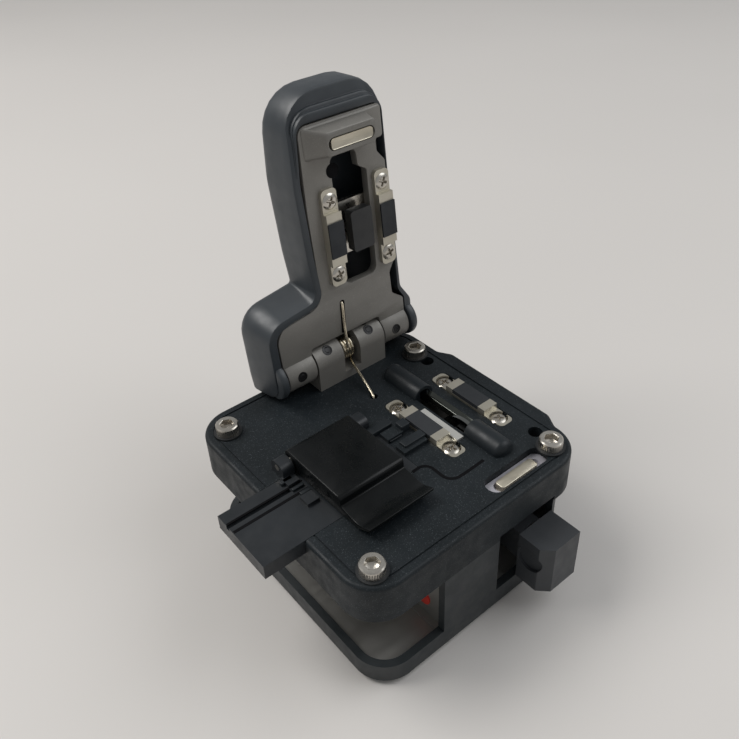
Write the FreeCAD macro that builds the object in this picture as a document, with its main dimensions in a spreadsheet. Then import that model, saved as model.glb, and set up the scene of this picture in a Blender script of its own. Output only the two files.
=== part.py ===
"""Fibre cleaver: black cover on a C-shaped chassis, hinged lever, sliding blade carriage, clamped fibre fixture.

Frame: +X along the fibre, away from the fixture; +Y towards the lever hinge; +Z up.
The origin is on the standing plane, under the middle of the cover. Everything is in millimetres.
"""
import FreeCAD, Part
import math
import os
import re
import Sketcher

doc = FreeCAD.newDocument("fibre_cleaver")
sheet = doc.addObject("Spreadsheet::Sheet", "Sizes")

# name, value, what it is
SIZES = [
    ("running_gap", 0.05, "radial clearance of a turning fit"),
    ("seat_gap", 0.1, "clearance round a piece that drops into a pocket"),
    ("free_gap", 0.3, "air between pieces that move past each other"),
    # cover
    ("cover_width", 63.0, "cover, along the fibre"),
    ("cover_depth", 65.5, "cover, button side to hinge side"),
    ("cover_top", 32.8, "height of the cover's flat top above the table"),
    ("cover_plate", 3.0, "thickness of the cover's top"),
    ("skirt_height", 10.0, "cover, top face to lower edge"),
    ("skirt_wall", 2.0, "cover skirt thickness"),
    ("cover_corner", 8.5, "cover corner radius in plan"),
    ("cover_edge", 0.9, "rounding of the cover's upper edge"),
    ("rim_inset", 2.0, "edge of the cover to the border groove"),
    ("rim_groove", 0.5, "border groove, wide and deep"),
    ("bulge_reach", 2.0, "how far the cover's off-cut side stands out"),
    ("bulge_half", 16.0, "half length of that side"),
    ("bulge_blend", 3.5, "length of the slope at each end of it"),
    # fibre line and clamps
    ("fibre_y", -4.0, "fibre axis, front to back"),
    ("fibre_rise", 1.4, "fibre line above the cover's top"),
    ("blade_x", 16.4, "plane of the blade wheel"),
    ("clamp_pitch", 15.2, "left clamp to right clamp"),
    ("clamp_screw_pitch", 18.0, "between the two screws of one clamp"),
    ("clamp_width", 4.2, "clamp block across its pad"),
    ("pad_length", 8.4, "rubber pad, front to back"),
    ("jaw_length", 2.2, "raised end of a clamp block"),
    ("clamp_foot", 3.0, "clamp block flange thickness"),
    ("clamp_end", 2.9, "clamp screw to the end of the block"),
    ("clamp_screw_head", 4.0, "clamp screw head diameter"),
    ("clamp_screw_shank", 2.0, "clamp screw thread diameter"),
    ("clamp_head_height", 1.4, "clamp screw head height"),
    # tray
    ("tray_left", 29.8, "tray, middle to fixture side"),
    ("tray_right", 27.5, "tray, middle to off-cut side"),
    ("tray_back", 31.2, "tray, middle to hinge side"),
    ("tray_corner", 8.0, "tray corner radius in plan"),
    ("tray_wall", 1.8, "tray wall thickness"),
    ("tray_floor", 1.6, "tray floor thickness"),
    ("rim_height", 6.2, "low rim round the open bay, above the table"),
    ("bay_edge", 11.9, "middle to the end of the full-height wall"),
    ("foot_rise", 0.6, "how far the rubber feet stand proud"),
    ("foot_depth", 0.8, "how far they sit in the tray"),
    ("foot_diameter", 7.0, "rubber foot diameter"),
    ("foot_inset", 8.2, "foot centre from the tray's sides"),
    ("window_left", 4.1, "button window, near edge from the middle"),
    ("window_right", 21.5, "button window, far edge from the middle"),
    ("window_arch", 1.2, "how far the window rises into the skirt"),
    # chassis
    ("chassis_floor", 3.0, "thickness of the chassis's lower plate"),
    ("web_left", 10.9, "middle to the chassis's upright face"),
    ("ledge_width", 1.6, "ledge at the foot of the upright"),
    ("ledge_rise", 0.4, "its height"),
    ("cavity_width", 15.4, "carriage cavity, along the fibre"),
    ("cavity_depth", 24.0, "carriage cavity behind the middle"),
    ("cavity_roof", 7.0, "chassis metal left above the cavity"),
    ("slot_width", 4.8, "slot for the blade wheel"),
    # screws of the cover
    ("screw_left", 26.0, "cover screws, fixture side"),
    ("screw_right_front", 25.2, "cover screw, front off-cut corner"),
    ("screw_right_back", 26.0, "cover screw, back off-cut corner"),
    ("screw_front", 27.4, "cover screws, front row"),
    ("screw_back_left", 25.2, "cover screw, back fixture corner"),
    ("screw_back_right", 18.2, "cover screw, back off-cut corner"),
    ("screw_head", 5.4, "cap head diameter"),
    ("screw_head_height", 3.0, "cap head height"),
    ("screw_shank", 3.0, "thread diameter"),
    ("screw_length", 8.0, "length under the head"),
    ("hex_key", 2.5, "hexagon socket across flats"),
    ("washer_width", 6.6, "washer diameter"),
    ("washer_thick", 0.4, "washer thickness"),
    # holes for an off-cut collector
    ("collector_x", 26.4, "collector holes from the middle"),
    ("collector_half", 18.0, "half distance between them, about the fibre"),
    ("collector_hole", 3.4, "their diameter"),
    # hinge
    ("hinge_x", 9.15, "middle of the hinge"),
    ("hinge_y", 26.6, "hinge axis, back from the middle"),
    ("hinge_rise", 6.5, "hinge axis above the cover's top"),
    ("knuckle_radius", 4.3, "knuckle radius"),
    ("hinge_pin", 4.0, "hinge pin diameter"),
    ("spring_room", 5.0, "gap between the two posts"),
    ("post_width", 7.8, "hinge post, along the pin"),
    ("knuckle_width", 8.4, "lever knuckle, along the pin"),
    ("post_foot", 2.2, "thickness of the bracket's foot under the cover"),
    ("set_screw", 2.5, "set screw diameter"),
    # torsion spring
    ("spring_wire", 0.8, "wire diameter"),
    ("spring_turns", 4.5, "turns of the coil"),
    ("spring_hole_x", 7.3, "hole for the spring's lower leg"),
    ("spring_hole_y", 12.3, "the same, front to back"),
    # magnets
    ("magnet_x", 15.2, "middle of the magnets"),
    ("magnet_y", -27.2, "the same, front to back"),
    ("magnet_length", 11.6, "bar magnet length"),
    ("magnet_width", 2.6, "bar magnet width"),
    ("magnet_height", 2.0, "bar magnet height"),
    ("magnet_window_x", 14.4, "magnet window, middle"),
    ("magnet_window", 17.6, "opening over the base magnet"),
    ("magnet_window_width", 4.8, "its width"),
    ("magnet_sink", 1.8, "cover's top down to the magnet plate"),
    # fibre fixture
    ("fixture_reach", 41.2, "middle to the fixture's outer end"),
    ("fixture_front", 12.8, "fixture bar, middle to front side"),
    ("fixture_back", 4.4, "fixture bar, middle to back side"),
    ("fixture_inner", 0.9, "middle to the fixture's inner end"),
    ("fixture_thick", 3.6, "fixture bar thickness"),
    ("fixture_groove", 0.8, "grooves along the bar"),
    ("lid_left", 21.9, "middle to the lid's outer end"),
    ("lid_width", 17.2, "lid, along the fibre"),
    ("lid_front", 11.2, "lid plate, middle to its front edge"),
    ("lid_tip", 21.8, "lid tab, middle to its lip"),
    ("lid_height", 4.8, "lid top above the fixture"),
    ("lid_hinge_y", 5.8, "lid pin, back from the middle"),
    ("lid_hinge_rise", 2.3, "lid pin above the fixture"),
    ("lid_pin", 1.6, "lid pin diameter"),
    ("ear_width", 3.0, "ears each side of the lid"),
    # blade carriage
    ("button_width", 10.4, "button, along the fibre"),
    ("button_reach", 41.2, "middle to the button's face"),
    ("button_depth", 8.2, "button, front to back"),
    ("button_low", 6.9, "button's underside above the table"),
    ("button_height", 13.6, "button height"),
    ("button_bevel", 2.4, "bevel on the button's upright edges"),
    ("button_dimple", 6.4, "round recess in the button's side"),
    ("blade_travel", 10.0, "stroke of the carriage"),
    ("blade_home", -9.5, "blade wheel's centre, front to back, at rest"),
    ("blade_diameter", 15.6, "blade wheel diameter"),
    ("blade_thick", 1.0, "blade wheel thickness"),
    ("blade_bore", 6.0, "blade wheel bore"),
    ("rail_width", 7.0, "guide rail width"),
    ("rail_height", 4.6, "guide rail height"),
    ("carriage_length", 22.0, "carriage, front to back"),
    ("carriage_width", 13.6, "carriage, along the fibre"),
    # lever
    ("open_angle", 95.5, "lever, closed to open"),
    ("lever_left", 1.2, "lever's narrow part, near side from the middle"),
    ("lever_right", 27.3, "lever's narrow part, far side from the middle"),
    ("lever_reach", 65.3, "hinge axis to the lever's tip"),
    ("lever_thick", 12.0, "lever shell thickness"),
    ("lever_wall", 2.0, "lever shell wall"),
    ("lever_flare", 12.0, "middle to the shoulder's outer side"),
    ("face_drop", 2.6, "shell's open face below the hinge axis"),
    ("frame_thick", 2.2, "lever frame plate thickness"),
    ("pad_drop", 5.05, "upper pads below the hinge axis, lever closed"),
    ("plunger_travel", 1.6, "stroke of the breaking anvil"),
    ("clamp_window", 23.9, "clamp window, front to back"),
    ("window_round", 1.5, "corner radius of a clamp window"),
    ("slot_front", 8.0, "fibre line to the blade slot's front end"),
    ("slot_back", 8.5, "fibre line to the blade slot's rear end"),
    ("guard_back", 15.5, "rear end of the rear blade guard"),
    ("guard_front", 21.0, "front end of the front blade guard"),
    ("guard_radius", 2.8, "half-round radius of a blade guard"),
    ("blade_peak", 1.2, "blade edge above the cover"),
    ("button_mouth", 2.6, "depth of the chassis cut behind the button window"),
    ("collector_tap", 2.5, "tapped hole under a collector hole, core diameter"),
    ("clamp_screw_bite", 4.0, "thread of a clamp screw in the deck"),
    ("clamp_head_sink", 1.4, "clamp screw head below the clamp's flange"),
    ("clamp_key", 1.6, "clamp screw key, across flats"),
    ("pad_thick", 1.0, "rubber pad thickness"),
    ("cavity_back", 13.0, "rear end of the carriage's cavity"),
    ("seal_y", -25.3, "paint dot on the web"),
    ("seal_z", 10.0, "paint dot above the table"),
    ("seal_size", 4.0, "paint dot diameter"),
    ("seal_thick", 0.3, "paint dot thickness"),
    ("strip_x", 12.0, "earth strip, middle"),
    ("strip_y", -6.1, "earth strip, middle"),
    ("strip_width", 2.0, "earth strip, along the fibre"),
    ("strip_length", 12.9, "earth strip length"),
    ("strip_height", 0.5, "earth strip above the cover"),
    ("shell_back", 5.0, "shell behind the hinge axis"),
    ("shoulder_top", 13.5, "hinge axis to the top of the lever's wide part"),
    ("shoulder_end", 20.5, "hinge axis to the end of the shoulder's slope"),
    ("cheek_reach", 30.4, "middle to the far cheek's outer side"),
    ("cheek_near", 12.1, "middle to the near cheek's outer side"),
    ("cheek_thick", 2.2, "cheek thickness"),
    ("lever_wall_right", 0.9, "lever shell wall on the off-cut side"),
    ("lever_tip_round", 5.0, "corner radius of the lever's tip in plan"),
    ("lever_back_round", 3.0, "rounding of the lever's outer edges"),
    ("frame_reach", 57.2, "hinge axis to the frame's end"),
    ("frame_start", 5.0, "hinge axis to the frame's plate"),
    ("lever_magnet_left", 7.5, "lever magnet block, near end"),
    ("lever_magnet_right", 21.6, "lever magnet block, far end"),
    ("lever_magnet_front", 56.5, "hinge axis to the magnet block's far side"),
    ("lever_magnet_back", 50.3, "hinge axis to the magnet block's near side"),
    ("magnet_clear", 0.2, "magnet block above the cover, lever closed"),
    ("upper_flange", 1.0, "upper clamp flange thickness"),
    ("upper_jaw", 2.0, "upper clamp jaw height"),
    ("anvil_width", 6.0, "anvil, along the fibre"),
    ("anvil_length", 10.0, "anvil, across the fibre"),
    ("anvil_height", 2.4, "anvil shoe height"),
    ("anvil_clear", 0.7, "anvil above the blade, lever closed"),
    ("anvil_stem", 4.0, "anvil stem diameter"),
    ("anvil_stem_length", 5.2, "anvil stem length"),
    ("bridge_thick", 1.6, "anvil bridge thickness"),
    ("bridge_width", 14.0, "anvil bridge, along the fibre"),
    ("bridge_length", 13.0, "anvil bridge, across the fibre"),
    ("rail_front", 22.0, "front end of the guide rail"),
    ("rail_back", 11.5, "rear end of the guide rail"),
    ("carriage_front", 14.0, "blade axis to the carriage's front"),
    ("carriage_low", 1.0, "carriage above the chassis floor"),
    ("carriage_gap", 0.8, "carriage below the deck"),
    ("cheek_width", 1.2, "thickness of a blade cheek"),
    ("cheek_length", 9.0, "length of a blade cheek"),
    ("cheek_tip", 4.4, "length of a blade cheek above the deck"),
    ("cheek_drop", 1.8, "blade cheek below the cover's top"),
    ("neck_width", 6.4, "button neck, along the fibre"),
    ("neck_height", 8.0, "button neck height"),
    ("dimple_depth", 0.8, "depth of the button's round recess"),
    ("fixture_slot_low", 0.1, "fibre groove, front side"),
    ("fixture_slot_high", 1.0, "fibre groove, back side"),
    ("fixture_slot_end", 25.7, "middle to the inner end of the fibre groove"),
    ("ear_back", 8.0, "lid ears, hinge side"),
    ("ear_front", 3.5, "lid ears, front side"),
    ("ear_height", 3.6, "lid ears above the cover"),
    ("lid_floor", 0.2, "lid above the bar"),
    ("lid_barrel", 2.0, "lid hinge barrel radius"),
    ("tab_top", 2.4, "lid tab above the cover"),
    ("tab_thick", 1.4, "lid tab thickness"),
    ("lid_pad_width", 5.0, "lid pad, across the fibre"),
    ("lid_pad_thick", 0.8, "lid pad thickness"),
    ("bulge_round", 2.5, "rounding where the bulge starts and ends"),
    ("rail_start", -0.9, "near end of the fibre rails"),
    ("rail_run", 4.6, "length of the short fibre rail"),
    ("rail_apart", 2.6, "gap between the fibre rails"),
    ("rail_wide", 3.0, "width of a fibre rail"),
    ("rail_rise", 1.0, "fibre rail above the cover"),
    ("grip_pitch", 2.2, "pitch of the grip steps at the lever's tip"),
    ("grip_depth", 0.5, "depth of a grip step"),
    ("block_bevel", 1.6, "bevel of the lever's magnet block"),
    ("rib_length", 3.0, "raised rib on the fixture bar"),
    ("rib_rise", 0.8, "rib above the bar"),
    ("spring_coil", 2.8, "torsion spring, mean coil radius"),
    ("frame_window_left", 10.9, "anvil window, near side"),
    ("frame_window_right", 20.8, "anvil window, far side"),
    ("frame_window_front", 49.2, "hinge axis to the anvil window's far end"),
    ("frame_window_back", 17.6, "hinge axis to the anvil window's near end"),
    ("button_x", 15.2, "middle of the button, along the fibre"),
]
for row, (alias, value, note) in enumerate(SIZES, start=1):
    sheet.set("A%d" % row, alias)
    sheet.set("B%d" % row, str(value))
    sheet.set("C%d" % row, note)
    sheet.setAlias("B%d" % row, alias)
doc.recompute()

FUNCTIONS = ("sin", "cos", "tan", "sqrt", "min", "max", "abs")


def bound(text):
    """Text of an expression with each size's name pointed at the spreadsheet."""
    return re.sub(r"[a-z][a-z_]+", lambda m: m.group() if m.group() in FUNCTIONS else "Sizes." + m.group(), text)


def num(text):
    """Value of an expression of the sizes."""
    value = sheet.evalExpression(str(text))
    return float(getattr(value, "Value", value))


PLANES = {"z": ("XY_Plane", 1), "y": ("XZ_Plane", -1), "x": ("YZ_Plane", 1)}
TURN = {"z": "%s", "y": "-(%s)", "x": "%s"}


def new_body(name):
    body = doc.addObject("PartDesign::Body", name)
    body.Label = name
    return body


def sketch_on(body, axis, level, loops):
    """Sketch square to an axis, at a level along it, holding closed loops.

    A loop is ("circle", x, y, radius) or a list of corners; every number is an expression.
    """
    role = PLANES[axis][0]
    plane = [f for f in body.Origin.OriginFeatures if f.Role == role][0]
    sketch = body.newObject("Sketcher::SketchObject", body.Name + "_sketch")
    sketch.AttachmentSupport = [(plane, "")]
    sketch.MapMode = "FlatFace"
    sketch.setExpression("AttachmentOffset.Base.z", bound(TURN[axis] % level))
    for loop in loops:
        if loop[0] == "circle":
            x, y, radius = loop[1:]
            centre = FreeCAD.Vector(num(x), num(y), 0)
            edge = sketch.addGeometry(Part.Circle(centre, FreeCAD.Vector(0, 0, 1), num(radius)), False)
            pin(sketch, edge, 3, x, y)
            index = sketch.addConstraint(Sketcher.Constraint("Radius", edge, num(radius)))
            sketch.setExpression("Constraints[%d]" % index, bound(str(radius)))
            continue
        if loop[0] == "round":
            rounded_rectangle(sketch, *loop[1:])
            continue
        corners = [FreeCAD.Vector(num(x), num(y), 0) for x, y in loop]
        edges = []
        for start, end in zip(corners, corners[1:] + corners[:1]):
            edges.append(sketch.addGeometry(Part.LineSegment(start, end), False))
        for edge, (x, y) in zip(edges, loop):
            pin(sketch, edge, 1, x, y)
        for edge, following in zip(edges, edges[1:] + edges[:1]):
            sketch.addConstraint(Sketcher.Constraint("Coincident", edge, 2, following, 1))
    return sketch


def rounded_rectangle(sketch, corners, radius, rounded=(0, 1, 2, 3)):
    """Draw a rectangle, given as box() gives it, with the numbered corners rounded."""
    inward = [(1, 1), (-1, 1), (-1, -1), (1, -1)]
    starts, ends = [], []
    for number, ((x, y), (right, up)) in enumerate(zip(corners, inward)):
        along_x = ("%s + %d * (%s)" % (x, right, radius), y)
        along_y = (x, "%s + %d * (%s)" % (y, up, radius))
        if number not in rounded:
            along_x = along_y = (x, y)
        enter, leave = (along_y, along_x) if number % 2 == 0 else (along_x, along_y)
        ends.append(enter)
        starts.append(leave)
        if number in rounded:
            centre = ("%s + %d * (%s)" % (x, right, radius), "%s + %d * (%s)" % (y, up, radius))
            circle = Part.Circle(vector(*centre), FreeCAD.Vector(0, 0, 1), num(radius))
            first = math.pi + number * math.pi / 2
            arc = sketch.addGeometry(Part.ArcOfCircle(circle, first, first + math.pi / 2), False)
            pin(sketch, arc, 3, *centre)
            pin(sketch, arc, 1, *enter)
            level = "Vertical" if number % 2 == 0 else "Horizontal"
            sketch.addConstraint(Sketcher.Constraint(level, arc, 2, arc, 3))
    for start, end in zip(starts, ends[1:] + ends[:1]):
        line = sketch.addGeometry(Part.LineSegment(vector(*start), vector(*end)), False)
        pin(sketch, line, 1, *start)
        pin(sketch, line, 2, *end)


def vector(x, y):
    return FreeCAD.Vector(num(x), num(y), 0)


def pin(sketch, edge, point, x, y):
    """Hold one point of an edge at x, y from the sketch's origin."""
    for kind, value in (("DistanceX", x), ("DistanceY", y)):
        index = sketch.addConstraint(Sketcher.Constraint(kind, -1, 1, edge, point, num(value)))
        sketch.setExpression("Constraints[%d]" % index, bound(str(value)))


def pad(body, axis, level, length, *loops):
    """Add material from a level along an axis, towards its plus end."""
    feature = body.newObject("PartDesign::Pad", body.Name + "_pad")
    feature.Profile = sketch_on(body, axis, level, loops)
    feature.setExpression("Length", bound(str(length)))
    feature.Reversed = PLANES[axis][1] < 0
    doc.recompute()
    return feature


def pocket(body, axis, level, length, *loops):
    """Take material away from a level along an axis, towards its plus end."""
    before = body.Shape.Volume
    feature = body.newObject("PartDesign::Pocket", body.Name + "_pocket")
    feature.Profile = sketch_on(body, axis, level, loops)
    feature.setExpression("Length", bound(str(length)))
    feature.Reversed = PLANES[axis][1] > 0
    doc.recompute()
    if not body.Shape.Volume < before - 1e-6:
        raise RuntimeError("a pocket of %s cuts nothing" % body.Name)
    return feature


def dress(body, kind, size, pick):
    """Fillet or chamfer of the edges that pick chooses."""
    base = body.Tip
    names = ["Edge%d" % n for n, edge in enumerate(base.Shape.Edges, start=1) if pick(edge)]
    if not names:
        raise RuntimeError("no edge to dress on %s" % body.Name)
    feature = body.newObject("PartDesign::" + kind, body.Name + "_" + kind.lower())
    feature.Base = (base, names)
    feature.setExpression("Radius" if kind == "Fillet" else "Size", bound(str(size)))
    doc.recompute()
    return feature


def box(x_low, y_low, x_high, y_high):
    """Corners of a rectangle."""
    return [(x_low, y_low), (x_high, y_low), (x_high, y_high), (x_low, y_high)]


ACROSS = {"z": (0, 1, 2), "y": (0, 2, 1), "x": (1, 2, 0)}


def corners(body, kind, size, axis, points, low=None, high=None):
    """Fillet or chamfer of the straight edges along an axis that pass through the given points."""
    across, up, along = ACROSS[axis]
    wanted = [(num(x), num(y)) for x, y in points]
    span = (-1e9, 1e9) if low is None else (num(low), num(high))

    def pick(edge):
        ends = [vertex.Point for vertex in edge.Vertexes]
        if len(ends) != 2 or math.hypot(ends[0][across] - ends[1][across], ends[0][up] - ends[1][up]) > 1e-5:
            return False
        inside = all(span[0] - 1e-5 < end[along] < span[1] + 1e-5 for end in ends)
        return inside and any(math.hypot(ends[0][across] - x, ends[0][up] - y) < 1e-4 for x, y in wanted)
    return dress(body, kind, size, pick)


def rim(body, kind, size, axis, level):
    """Fillet or chamfer of every edge that lies flat at a level along an axis."""
    along = ACROSS[axis][2]

    def pick(edge):
        box_of = edge.BoundBox
        low = (box_of.XMin, box_of.YMin, box_of.ZMin)[along]
        high = (box_of.XMax, box_of.YMax, box_of.ZMax)[along]
        return max(abs(low - num(level)), abs(high - num(level))) < 1e-4
    return dress(body, kind, size, pick)


def hole(body, level, length, radius, *centres):
    """Upright holes through a range of heights."""
    loops = [("circle", x, y, radius) for x, y in centres]
    return pocket(body, "z", level, length, *loops)


def place(body, x="0", y="0", z="0", turn=None):
    """Seat a body at x, y, z, turned about the X axis."""
    if turn is not None:
        body.Placement = FreeCAD.Placement(FreeCAD.Vector(), FreeCAD.Rotation(FreeCAD.Vector(1, 0, 0), num(turn)))
        body.setExpression("Placement.Rotation.Angle", bound(str(turn)))
    for axis, value in (("x", x), ("y", y), ("z", z)):
        body.setExpression("Placement.Base." + axis, bound(str(value)))


def place_on_lever(body):
    """Seat a piece of the lever: it is drawn closed, about the hinge axis, and stands open."""
    place(body, "0", "hinge_y", "cover_top + hinge_rise", "-open_angle")


def primitive(kind, name, x, y, z, axis="z", **sizes):
    """A box, cylinder, cone or prism with its sizes and seat bound to the sheet; axis is where its height points."""
    part = doc.addObject("Part::" + kind, name)
    for size, text in sizes.items():
        if size == "Polygon":
            part.Polygon = text
        else:
            part.setExpression(size, bound(str(text)))
    rotation = {"z": (0, 0, 1, 0), "x": (0, 1, 0, 90), "y": (1, 0, 0, -90)}[axis]
    part.Placement = FreeCAD.Placement(FreeCAD.Vector(), FreeCAD.Rotation(FreeCAD.Vector(*rotation[:3]), rotation[3]))
    place(part, x, y, z)
    return part


def joined(name, base, tools, kind="Cut"):
    """One solid made from a base and its tools."""
    result = doc.addObject("Part::" + kind, name)
    if kind == "MultiFuse":
        result.Shapes = [base] + tools
    else:
        result.Base = base
        result.Tool = tools[0]
    return result


def group(name, members):
    """Like pieces that share one node, each a solid of its own."""
    result = doc.addObject("Part::Compound", name)
    result.Label = name
    result.Links = members
    return result


def cap_screw(name, x, y, seat, head, head_height, shank, length, key):
    """Socket head screw with its head's underside at seat, pointing down."""
    top = primitive("Cylinder", name + "_head", x, y, seat, Radius=head + " / 2", Height=head_height)
    stem = primitive("Cylinder", name + "_stem", x, y, "%s - (%s)" % (seat, length), Radius=shank + " / 2", Height=length)
    whole = joined(name + "_blank", top, [stem], "MultiFuse")
    socket = primitive("Prism", name + "_socket", x, y, seat + " + " + head_height + " / 2", Polygon=6,
                       Circumradius=key + " / sqrt(3)", Height=head_height)
    return joined(name, whole, [socket])


nodes = []


def keep(*objects):
    """Count objects among the pieces that are written out."""
    nodes.extend(objects)


# ---------------------------------------------------------------- levels and places that pieces share
COVER_LOW = "cover_top - skirt_height"
DECK = "cover_top - cover_plate"
PAN_LOW = "foot_rise"
PAN_FLOOR = "foot_rise + tray_floor"
FLOOR_TOP = "foot_rise + tray_floor + chassis_floor"
PIN_Z = "cover_top + hinge_rise"
FIBRE_Z = "cover_top + fibre_rise"
SCREWS = [("-screw_left", "screw_back_left"), ("-screw_left", "-screw_front"),
          ("screw_right_front", "-screw_front"), ("screw_right_back", "screw_back_right")]
COLLECTOR = [("collector_x", "fibre_y + collector_half"), ("collector_x", "fibre_y - collector_half")]
CLAMPS = {"left": "blade_x - clamp_pitch / 2", "right": "blade_x + clamp_pitch / 2"}
BLADE_Z = "cover_top + blade_peak - blade_diameter / 2"
BAR_BACK = "fixture_back"
BAR_FRONT = "-fixture_front"


# ---------------------------------------------------------------- top cover
def build_cover():
    """Cast cover: a plate with a skirt, a bulged right side, windows, two blade guards and the bar's channel."""
    side = "cover_width / 2"
    back = "cover_depth / 2"
    bulge = side + " + bulge_reach"
    ends = ["fibre_y - bulge_half", "fibre_y + bulge_half"]
    blends = [ends[0] + " - bulge_blend", ends[1] + " + bulge_blend"]
    outline = [("-" + side, "-" + back), (side, "-" + back), (side, blends[0]), (bulge, ends[0]),
               (bulge, ends[1]), (side, blends[1]), (side, back), ("-" + side, back)]
    cover = new_body("top_cover")
    pad(cover, "z", COVER_LOW, "skirt_height", outline)
    corners(cover, "Fillet", "cover_corner", "z", [outline[0], outline[1], outline[6], outline[7]])
    corners(cover, "Fillet", "bulge_round", "z", outline[2:6])
    rim(cover, "Fillet", "cover_edge", "z", "cover_top")
    hollow = box("-%s + skirt_wall" % side, "-%s + skirt_wall" % back, "%s - skirt_wall" % side,
                 "%s - skirt_wall" % back)
    pocket(cover, "z", COVER_LOW, "skirt_height - cover_plate", ("round", hollow, "cover_corner - skirt_wall"))

    # channel for the fixture bar, open to the left
    pocket(cover, "z", "cover_top - fixture_thick", "fixture_thick",
           box("-%s - bulge_reach" % side, BAR_FRONT + " - seat_gap", "-fixture_inner + seat_gap",
               BAR_BACK + " + seat_gap"))
    # windows over the two clamps and the blade
    for x in CLAMPS.values():
        window = box(x + " - clamp_width / 2 - free_gap", "fibre_y - clamp_window / 2",
                     x + " + clamp_width / 2 + free_gap", "fibre_y + clamp_window / 2")
        pocket(cover, "z", DECK, "cover_plate", ("round", window, "window_round"))
    slot = box("blade_x - slot_width / 2", "fibre_y - slot_front", "blade_x + slot_width / 2", "fibre_y + slot_back")
    pocket(cover, "z", DECK, "cover_plate", slot)
    # half-round guards over the blade's two ends
    for low, high in (("fibre_y + slot_back", "guard_back"), ("-guard_front", "fibre_y - slot_front")):
        pad(cover, "y", low, "%s - (%s)" % (high, low), guard_profile())
    rounded = [("fibre_y + slot_back", "guard_back"), ("-guard_front", "fibre_y - slot_front")]
    kerf = box("blade_x - blade_thick / 2 - free_gap * 2", "blade_home - blade_diameter / 2 - free_gap",
               "blade_x + blade_thick / 2 + free_gap * 2",
               "blade_home + blade_travel + blade_diameter / 2 + free_gap")
    pocket(cover, "z", DECK, "cover_plate + blade_peak + free_gap", kerf)

    hole(cover, DECK, "cover_plate", "screw_shank / 2 + seat_gap * 2", *SCREWS)
    hole(cover, DECK, "cover_plate", "collector_hole / 2", *COLLECTOR)
    hole(cover, DECK, "cover_plate", "spring_wire / 2 + free_gap * 2", ("spring_hole_x", "spring_hole_y"))
    # fine groove along the border, and the rails that lead the fibre to the near clamp
    pocket(cover, "z", "cover_top - rim_groove / 2", "rim_groove / 2",
           ("round", border("rim_inset"), "cover_corner - rim_inset"),
           ("round", border("rim_inset + rim_groove"), "cover_corner - rim_inset - rim_groove"))
    pad(cover, "z", "cover_top", "rail_rise",
        box("rail_start", "fibre_y + rail_apart / 2", "rail_start + rail_run", "fibre_y + rail_apart / 2 + rail_wide"))
    pad(cover, "z", "cover_top", "rail_rise",
        box("rail_start", "fibre_y - rail_apart / 2 - rail_wide", "rail_start + rail_run * 3 / 2",
            "fibre_y - rail_apart / 2"))
    # sunk seat for the magnet plate
    seat = box("magnet_window_x - magnet_window / 2", "magnet_y - magnet_window_width / 2",
               "magnet_window_x + magnet_window / 2", "magnet_y + magnet_window_width / 2")
    pocket(cover, "z", DECK, "cover_plate", ("round", seat, "magnet_window_width / 2 - seat_gap"))
    # arch over the button
    pocket(cover, "y", "-%s - free_gap" % back, "skirt_wall + free_gap * 2",
           box("window_left", COVER_LOW + " - free_gap", "window_right", COVER_LOW + " + window_arch"))
    return cover


def border(inset_by):
    """The cover's rectangle, without the bulge, moved in from its sides."""
    half_width, half_depth = "(cover_width / 2 - (%s))" % inset_by, "(cover_depth / 2 - (%s))" % inset_by
    return box("-" + half_width, "-" + half_depth, half_width, half_depth)


def guard_profile():
    """Section of a blade guard on the cover: flat foot, half-round top, as an eleven-sided line."""
    steps = 8
    points = []
    for step in range(steps + 1):
        angle = 180 * step / steps
        points.append(("blade_x + guard_radius * cos(%g)" % angle, "cover_top + guard_radius * sin(%g)" % angle))
    return points


keep(build_cover())


# ---------------------------------------------------------------- tray, feet and its screws
TRAY_BOX = ["-tray_left", "-cover_depth / 2", "tray_right", "tray_back"]


def inset(edges, wall):
    """A rectangle's four sides, moved in by a wall."""
    x_low, y_low, x_high, y_high = edges
    return ["%s %s (%s)" % (edge, sign, wall) for edge, sign in ((x_low, "+"), (y_low, "+"), (x_high, "-"),
                                                               (y_high, "-"))]


def build_tray():
    """Moulded tray: a floor, a low rim round the open bay and a full wall round the chassis."""
    tray = new_body("base_tray")
    outer = box(*TRAY_BOX)
    inner = box(*inset(TRAY_BOX, "tray_wall"))
    pad(tray, "z", PAN_LOW, COVER_LOW + " - foot_rise", ("round", outer, "tray_corner"))
    rim(tray, "Chamfer", "foot_depth", "z", PAN_LOW)
    pocket(tray, "z", PAN_FLOOR, COVER_LOW + " - (" + PAN_FLOOR + ")", ("round", inner, "tray_corner - tray_wall"))
    pocket(tray, "z", "rim_height", COVER_LOW + " - rim_height",
           box("-tray_left - free_gap", "-cover_depth", "-bay_edge", "cover_depth"))
    pocket(tray, "y", "-cover_depth / 2 - free_gap", "tray_wall + free_gap * 2",
           box("window_left", "rim_height + seat_gap", "window_right", COVER_LOW + " + free_gap"))
    hole(tray, PAN_LOW, "foot_depth", "foot_diameter / 2 + seat_gap", *feet_centres())
    hole(tray, PAN_LOW, "tray_floor", "set_screw / 2 + seat_gap", *tray_screw_centres())
    return tray


def feet_centres():
    x_low, y_low, x_high, y_high = inset(TRAY_BOX, "foot_inset")
    return [(x, y) for x in (x_low, x_high) for y in (y_low, y_high)]


def tray_screw_centres():
    """Two screws on the tray's middle line hold it to the chassis."""
    return [(x, "fibre_y") for x in ("-tray_left + foot_inset", "tray_right - foot_inset")]


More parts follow.
